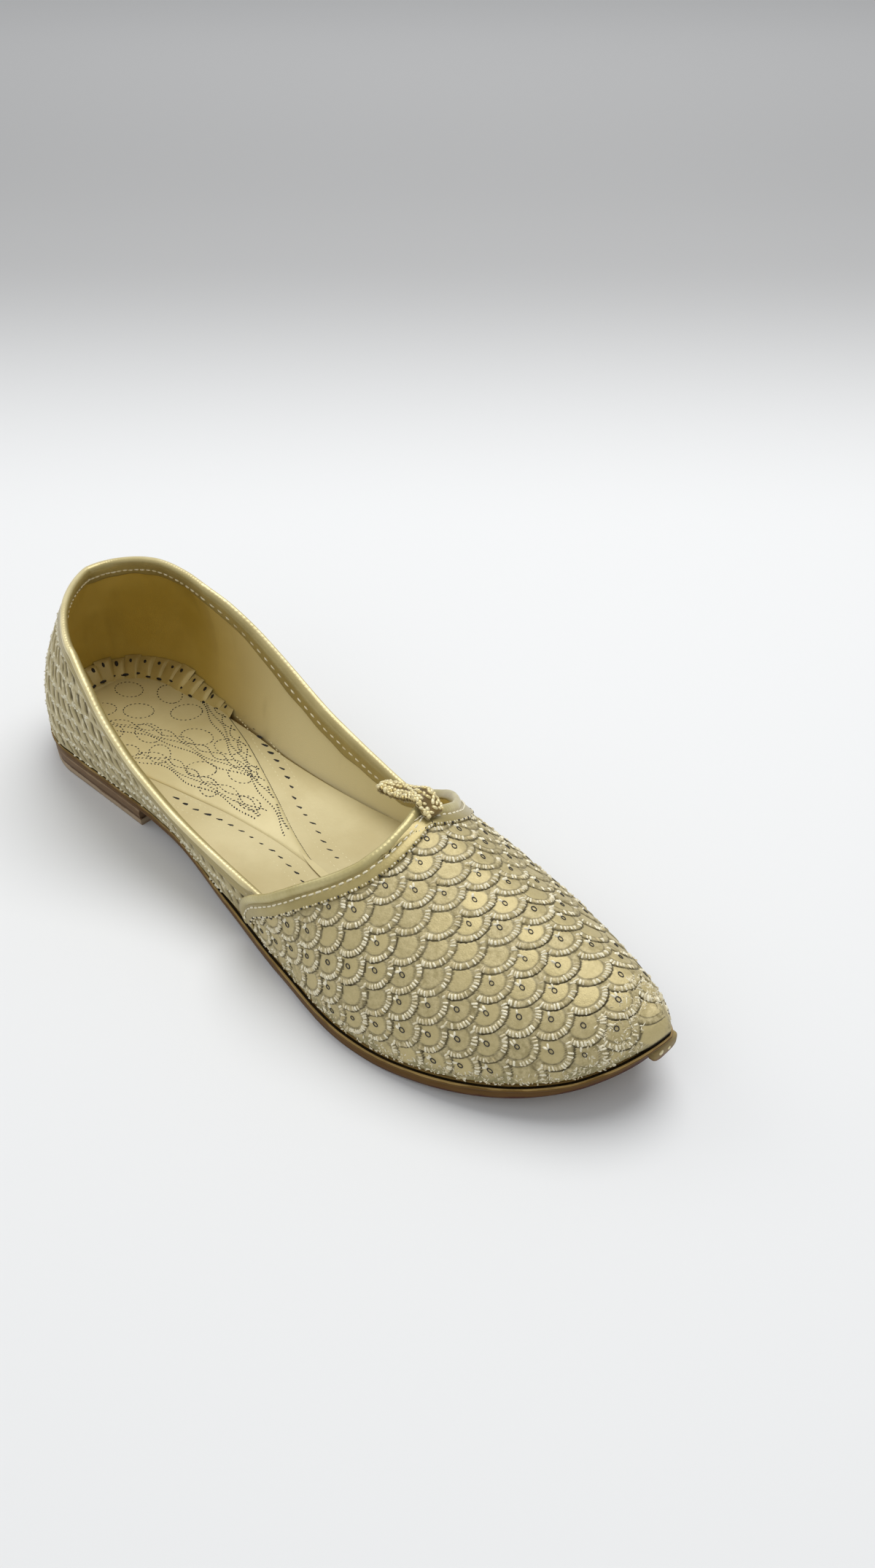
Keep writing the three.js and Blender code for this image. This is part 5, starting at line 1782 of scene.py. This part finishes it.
def build_insole(leather):
    """Insole, a little wider at the waist, and the pointed sock on it, as layers with
    rounded edges."""
    drawn = drawn_edge(INSOLE_FRONT, DRAWN_STEADY, -INSOLE_INSET)

    def edge(x, side, out):
        return drawn(x, side, out + WAIST_EXTRA * smooth(x, 45, 80) * (1 - smooth(x, 170, 200)))

    points, faces, _ = layer(stations(INSOLE_FRONT), edge, foot_height, insole_top, EDGE_TIGHT)
    make_piece("insole_board", points, faces, leather,
               replaces=("insole",), crease=EDGE_CREASE)
    x = np.concatenate([
        SOCK_BACK_X + (SOCK_ROUND_X - SOCK_BACK_X) * (1 - np.cos(np.linspace(0, np.pi / 2, 24))),
        np.linspace(SOCK_ROUND_X, SOCK_TIP_X, 90)[1:]])
    top = leather_material("sock_leather", *SOCK_TOP, 0.12, 0.4)
    points, faces, _ = layer(x, sock_edge, lambda v: insole_top(v) + 0.05, sock_top, EDGE_SOFT)
    leaf = make_piece("sock_leaf", points, faces, top,
                      replaces=("insole_sock",), crease=EDGE_CREASE)


# The pleats sink toward both ends of their run. Their feet lie on a tighter round than the
# wall, and each gap lies this share of a width behind its pleat
PLEAT_ENDS = 92.0
PLEAT_SINK_FROM = 50.0
PLEAT_ROUND = 0.86
PLEAT_GAP = 0.46
PLEAT_OVERLAP = 0.9


def build_pleats(settings, leather, dark):
    """Tabs of the lining turned in round the heel seat. Each is a cushion that leans from the
    insole up the wall and laps over the next, with a nail hole and a gap beside its foot, drawn as dark
    domes of painted shade."""
    width = in_mm(settings.pleat_width)
    rng = np.random.default_rng(61)
    reach = np.arange(-PLEAT_ENDS, PLEAT_ENDS, width * PLEAT_OVERLAP)
    parts, holes, gaps = [], [], []
    u, v = lattice(np.linspace(-1, 1, 9), np.linspace(0, 1, 8))
    for start in reach:
        full = 1 - smooth(abs(start), PLEAT_SINK_FROM, PLEAT_ENDS)
        swell = 0.15 + 0.85 * full
        rise = in_mm(settings.pleat_rise) * (0.2 + 0.8 * full) * rng.uniform(0.88, 1.1)
        wide = width * rng.uniform(0.9, 1.12)
        lean = rng.normal(0, 0.6)
        run = start * PLEAT_ROUND + u * wide / 2 * (1 - 0.12 * v) + lean * v
        outer = pleat_point(run, v, rise)
        lift = 0.35 + 0.9 * (u * 0.5 + 0.5) ** 1.5 + 0.45 * np.sin(np.pi * v) * (1 - u ** 2)
        lift = lift * swell
        edge = (1 - np.abs(u) ** 8) * (1 - np.abs(2 * v - 1) ** 9)
        inward = pleat_inward(run)
        top = outer + inward * (lift * edge)[..., None]
        parts.append((top.reshape(-1, 3), grid_faces(*u.shape)))
        hole = pleat_point(np.array([start * PLEAT_ROUND + rng.normal(0, 0.7)]), np.array([0.7]), rise)
        holes.append(hole + pleat_inward(np.array([start * PLEAT_ROUND])) * 1.15 * swell)
        gap_run = np.array([(start - width * PLEAT_GAP) * PLEAT_ROUND])
        gap = pleat_point(gap_run, np.array([rng.uniform(0.04, 0.2)]), rise)
        gaps.append(gap + pleat_inward(gap_run) * 0.75 * swell)
    points, faces = join_parts(parts)
    pleats = make_piece("pleats", points, faces, leather, inside=OVER_HEEL_SEAT)
    pleats.data.flip_normals()
    # Dark domes of painted shade in the nail holes and in the gaps beside the pleats' feet
    spots = np.concatenate(holes + gaps)
    run = np.concatenate([reach, reach - width * PLEAT_GAP]) * PLEAT_ROUND
    inward = pleat_inward(run)
    up = repeated(UPWARD, len(spots))
    side = unit(np.cross(up, inward))
    size = rng.uniform(0.65, 1.2, (len(spots), 3))
    size[:, 1] *= 1.35
    size[len(reach):] *= np.array([2.1, 0.6, 1.0])
    points, faces = scatter(dome(0.8, 0.25, 8, 2), spots, side, np.cross(inward, side), inward, size)
    make_piece("pleat_hole_shade", points, faces, dark)


PLEAT_FOOT_IN = 4.2
PLEAT_FOOT_BACK = 4.8


def pleat_point(run, share, rise):
    """Line from the insole up to the wall's face. Its foot is set in from the insole's edge,
    and comes back to the wall toward the ends of the run."""
    x, side = run_place(run)
    back = PLEAT_FOOT_BACK * smooth(np.abs(run), 48.0, 78.0)
    fx, fy = outline_point(x, side, -INSOLE_INSET - PLEAT_FOOT_IN + back)
    foot = np.stack([fx, fy, insole_top(x) + 0.15], -1)
    wall = quarter_point(run, (rise + 2.6) / wall_height(run), -QUARTER_WALL - 0.35)
    bow = share ** 0.8
    return foot * (1 - bow[..., None]) + wall * bow[..., None]


def pleat_inward(run):
    """Direction in from the wall and up, at 45 degrees."""
    x, side = run_place(run)
    nx, ny = outline_normal(x, side)
    return unit(np.stack([-nx, -ny, 0 * nx + 1.0], -1))


# Rows of slits beside the sock, on the far medial side and the near lateral side
FAR_SLITS = {"x": (46, 61, 70, 82, 93, 104, 113.5, 125, 136, 147),
             "y": (32, 30, 28, 23, 20, 16, 10.5, 8, 4, 2)}
NEAR_SLITS = {"x": (83, 91, 96, 102, 110, 116, 121.5, 127, 133, 138, 143),
              "y": (-19, -18, -16.5, -14.7, -12.9, -12, -11.4, -10.9, -11.6, -12, -13.3)}


def flat_dashes(x, y, heading, length, width, height, floor, seed):
    """Dashes lying on a level face, each turned by its heading."""
    rng = np.random.default_rng(seed)
    origins = np.stack([x, y, floor(x)], -1)
    along = np.stack([np.cos(heading), np.sin(heading), 0 * x], -1)
    up = repeated(UPWARD, len(x))
    size = rng.uniform(0.8, 1.2, (len(x), 3))
    dash = pillow(length, width, height, cells=(3, 2))
    return scatter(dash, origins, along, np.cross(up, along), up, size)


def along_row(table, pitch):
    """Even stations of a row, with its line and heading there."""
    line = curve(table, "y")
    x = np.arange(table["x"][0], table["x"][-1], pitch)
    return x, line(x), np.arctan2(line(x + 1) - line(x - 1), 2.0)


def build_slits(dark):
    """Two rows of slits where the insole is sewn, drawn as dark dashes of painted shade, with a line of
    stitches on either side.
    """
    parts = []
    for seed, table, tilt in ((71, FAR_SLITS, 0.55), (72, NEAR_SLITS, 0.27)):
        x, y, heading = along_row(table, 4.6)
        parts.append(flat_dashes(x, y, heading + tilt, 3.1, 1.15, 0.24, insole_top, seed))
    # The slits are dark dashes of painted shade
    points, faces = join_parts(parts)
    make_piece("insole_slit_shade", points, faces, dark)
    pale = []
    for seed, table in ((73, FAR_SLITS), (74, NEAR_SLITS)):
        x, y, heading = along_row(table, 2.1)
        for offset in (-2.9, 2.9):
            pale.append(flat_dashes(x, y + offset, heading, 1.25, 0.45, 0.12, insole_top, seed))
    points, faces = join_parts(pale)
    thread = thread_material("insole_thread", *INSOLE_THREAD)
    make_piece("insole_stitches", points, faces, thread,
               attributes={"shade": np.full(len(points), 0.6)})


# Ornament of the sock, all in plain traditional stitch lines: ovals and cable bands
OVALS = {
    "x": (19, 22, 33, 33, 36, 47, 47, 50, 62, 60, 75, 78, 90, 88, 103),
    "y": (9, -6, 18, 3, -12, 15, -3, -15, 8, -8, 12, -3, 5, -8, -2),
    "long": (6, 5.5, 6.5, 6, 5, 6, 6.5, 4.5, 6.5, 5.5, 5.5, 5.5, 5, 4, 4.5),
    "wide": (4.5, 4, 4.5, 4.5, 4, 5, 4.5, 3.5, 4.5, 4, 4, 4, 3.5, 3, 3),
    "turn": (0.2, 0.7, -0.3, 0.5, 0.1, 0.9, -0.2, 0.4, 0.3, -0.5, 0.2, 0.6, 0.1, -0.3, 0.2),
}
CABLES = [
    {"x": (17, 24, 40, 60, 80, 96), "y": (-14, -16, -8, -1, 2, 8)},
    {"x": (28, 44, 62, 84, 108, 124), "y": (25, 23, 17, 9, 3, -3)},
    {"x": (56, 66, 80, 96, 110), "y": (-17, -12, -11, -7, -6)},
]


def build_ornament(settings, dark):
    """Stitches of the sock as dark dashes of painted hole shade: ellipses of dashes, and cables that wave
    as sines along a curve, with a line of painted shadow along the sock's medial edge.
    """
    dash = in_mm(settings.dash)
    pitch = in_mm(settings.dash_pitch)
    xs, ys, headings = [], [], []
    for cx, cy, long, wide, turn in zip(*(OVALS[key] for key in ("x", "y", "long", "wide", "turn"))):
        around = np.arange(0, 2 * np.pi, pitch / ((long + wide) / 2))
        px, py = long * np.cos(around), wide * np.sin(around)
        tx, ty = -long * np.sin(around), wide * np.cos(around)
        xs.append(cx + px * np.cos(turn) - py * np.sin(turn))
        ys.append(cy + px * np.sin(turn) + py * np.cos(turn))
        headings.append(np.arctan2(ty, tx) + turn)
    for table in CABLES:
        line = curve(table, "y")
        x = np.arange(table["x"][0], table["x"][-1], 1.25)
        slope = np.arctan2(line(x + 0.5) - line(x - 0.5), 1.0)
        for offset, tilt in ((0.0, 0.7), (1.9, -0.7)):
            wave = offset + 0.7 * np.sin(x / 3.4 + offset)
            xs.append(x - np.sin(slope) * wave)
            ys.append(line(x) + np.cos(slope) * wave)
            headings.append(slope + np.pi / 2 + tilt)
        for phase in (0.0, np.pi):
            wave = 4.6 + 1.5 * np.sin(x / 2.6 + phase)
            xs.append(x - np.sin(slope) * wave)
            ys.append(line(x) + np.cos(slope) * wave)
            headings.append(slope + np.arctan(1.5 / 2.6 * np.cos(x / 2.6 + phase)))
    x, y, heading = map(np.concatenate, (xs, ys, headings))
    lateral = sock_edge(x, np.full(len(x), LATERAL), np.full(len(x), -1.2))[1]
    medial = sock_edge(x, np.full(len(x), MEDIAL), np.full(len(x), -1.2))[1]
    kept = (y > lateral) & (y < medial) & (x > SOCK_BACK_X + 1)
    parts = [flat_dashes(x[kept], y[kept], heading[kept], dash, 0.6, 0.16, sock_top, 81)]
    # A line of painted shadow along the sock's medial edge
    ahead = np.arange(SOCK_ROUND_X - 6, SOCK_TIP_X, 1.0)
    edge_y = sock_edge(ahead, np.full(len(ahead), MEDIAL), np.full(len(ahead), 0.1))[1]
    heading = np.arctan2(np.gradient(edge_y), np.gradient(ahead))
    parts.append(flat_dashes(ahead, edge_y, heading, 1.7, 0.5, 0.16, insole_top, 82))
    points, faces = join_parts(parts)
    make_piece("sock_stitch_and_edge_shade", points, faces, dark)


# Stage

class MOJARI_OT_stage(bpy.types.Operator):
    """Sets the pale floor, the soft studio lights and the camera at the photograph's angle"""

    bl_idname = "mojari.stage"
    bl_label = "Stage"

    def execute(self, context):
        settings = context.scene.mojari_stage
        context.scene.view_settings.view_transform = "Standard"
        build_floor(settings)
        build_lights()
        build_camera(context, settings)
        return {"FINISHED"}


VIEW_DIRECTION = (-0.5295, 0.5608, -0.6365)


def build_camera(context, settings):
    """Camera at the place and angle of the photograph."""
    data = bpy.data.cameras.new("camera")
    data.sensor_width = 36.0
    data.lens = settings.lens
    data.clip_start = 0.01
    camera = bpy.data.objects.new("camera", data)
    camera.location = (settings.camera_x, settings.camera_y, settings.camera_z)
    camera.rotation_euler = Vector(VIEW_DIRECTION).to_track_quat("-Z", "Y").to_euler()
    context.scene.collection.objects.link(camera)
    context.scene.camera = camera


# Direction away from the camera along the floor, and the floor's colours behind the shoe: painted shade
# that deepens behind it, then painted light that pales it again far off
FLOOR_AWAY = (-0.687, 0.727, 0.0)
FLOOR_PAINTED_SHADE = (0.46, 0.46, 0.46)
FLOOR_FAR_PAINTED_LIGHT = (0.66, 0.66, 0.66)


def build_floor(settings):
    """Wide level sheet with painted shade that deepens behind the shoe and painted light that pales it
    again in the distance.
    """
    mesh = bpy.data.meshes.new("floor")
    reach = 6.0
    corners = [(-reach, -reach, 0), (reach, -reach, 0), (reach, reach, 0), (-reach, reach, 0)]
    mesh.from_pydata(corners, [], [(0, 1, 2, 3)])
    made, tree, shader, place = new_material("studio_floor", roughness=0.6)
    measured = node(tree, "ShaderNodeVectorMath", {0: place, 1: FLOOR_AWAY}, operation="DOT_PRODUCT")
    away = measured.outputs["Value"]
    # Painted shade and light: the floor's colour falls off behind the shoe and rises again far away, as
    # the light does
    colour = blend(tree, spread(tree, away, 0.16, 0.56), tuple(settings.floor_colour), FLOOR_PAINTED_SHADE)
    colour = blend(tree, spread(tree, away, 0.65, 1.3), colour, FLOOR_FAR_PAINTED_LIGHT)
    feed(shader, "Base Color", colour)
    shader.inputs["Specular IOR Level"].default_value = 0.25
    mesh.materials.append(made)
    floor = bpy.data.objects.new("floor", mesh)
    bpy.context.scene.collection.objects.link(floor)


LIGHT_AIM = (0.1, 0.0, 0.02)
# Name, place in metres, size and power of each soft disc
LIGHTS = [
    ("key", (0.02, 0.42, 1.15), 1.0, 10.0),
    ("fill", (0.2, -0.8, 0.8), 1.1, 1.2),
    ("rim", (-0.75, -0.25, 0.6), 0.7, 1.2),
]


def build_lights():
    """Even light from all round, and three soft discs aimed at the shoe."""
    world = bpy.context.scene.world or bpy.data.worlds.new("studio")
    bpy.context.scene.world = world
    world.use_nodes = True
    background = world.node_tree.nodes["Background"]
    background.inputs["Color"].default_value = (0.965, 0.98, 1.0, 1.0)
    background.inputs["Strength"].default_value = 0.5
    for name, place, size, power in LIGHTS:
        data = bpy.data.lights.new(name, "AREA")
        data.shape = "DISK"
        data.size = size
        data.energy = power
        lamp = bpy.data.objects.new(name, data)
        lamp.location = place
        aim = Vector(LIGHT_AIM) - Vector(place)
        lamp.rotation_euler = aim.to_track_quat("-Z", "Y").to_euler()
        bpy.context.scene.collection.objects.link(lamp)


# Panel and registration

OPERATORS = (
    MOJARI_OT_stage, MOJARI_OT_vamp, MOJARI_OT_quarter, MOJARI_OT_trim, MOJARI_OT_inside, MOJARI_OT_sole,
)


class MOJARI_PT_panel(bpy.types.Panel):
    """Lists the steps that build the shoe, and their sizes"""

    bl_idname = "MOJARI_PT_panel"
    bl_label = "Mojari"
    bl_space_type = "VIEW_3D"
    bl_region_type = "UI"
    bl_category = "Mojari"

    def draw(self, context):
        for operator in OPERATORS:
            self.layout.operator(operator.bl_idname)
        for name in SETTINGS:
            box = self.layout.box()
            group = getattr(context.scene, name)
            for key in group.__annotations__:
                box.prop(group, key)


def register():
    """Registers the classes and puts the settings on the scene."""
    for group in (*SETTINGS.values(), *OPERATORS, MOJARI_PT_panel):
        bpy.utils.register_class(group)
    for name, group in SETTINGS.items():
        setattr(bpy.types.Scene, name, bpy.props.PointerProperty(type=group))


def unregister():
    """Takes away what register added."""
    for name in SETTINGS:
        delattr(bpy.types.Scene, name)
    for group in (MOJARI_PT_panel, *reversed(OPERATORS), *SETTINGS.values()):
        bpy.utils.unregister_class(group)


def main():
    """Builds the shoe step by step."""
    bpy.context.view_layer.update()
    register()
    for operator in OPERATORS:
        group, action = operator.bl_idname.split(".")
        getattr(getattr(bpy.ops, group), action)()
    bpy.context.view_layer.update()


if __name__ == "__main__":
    main()
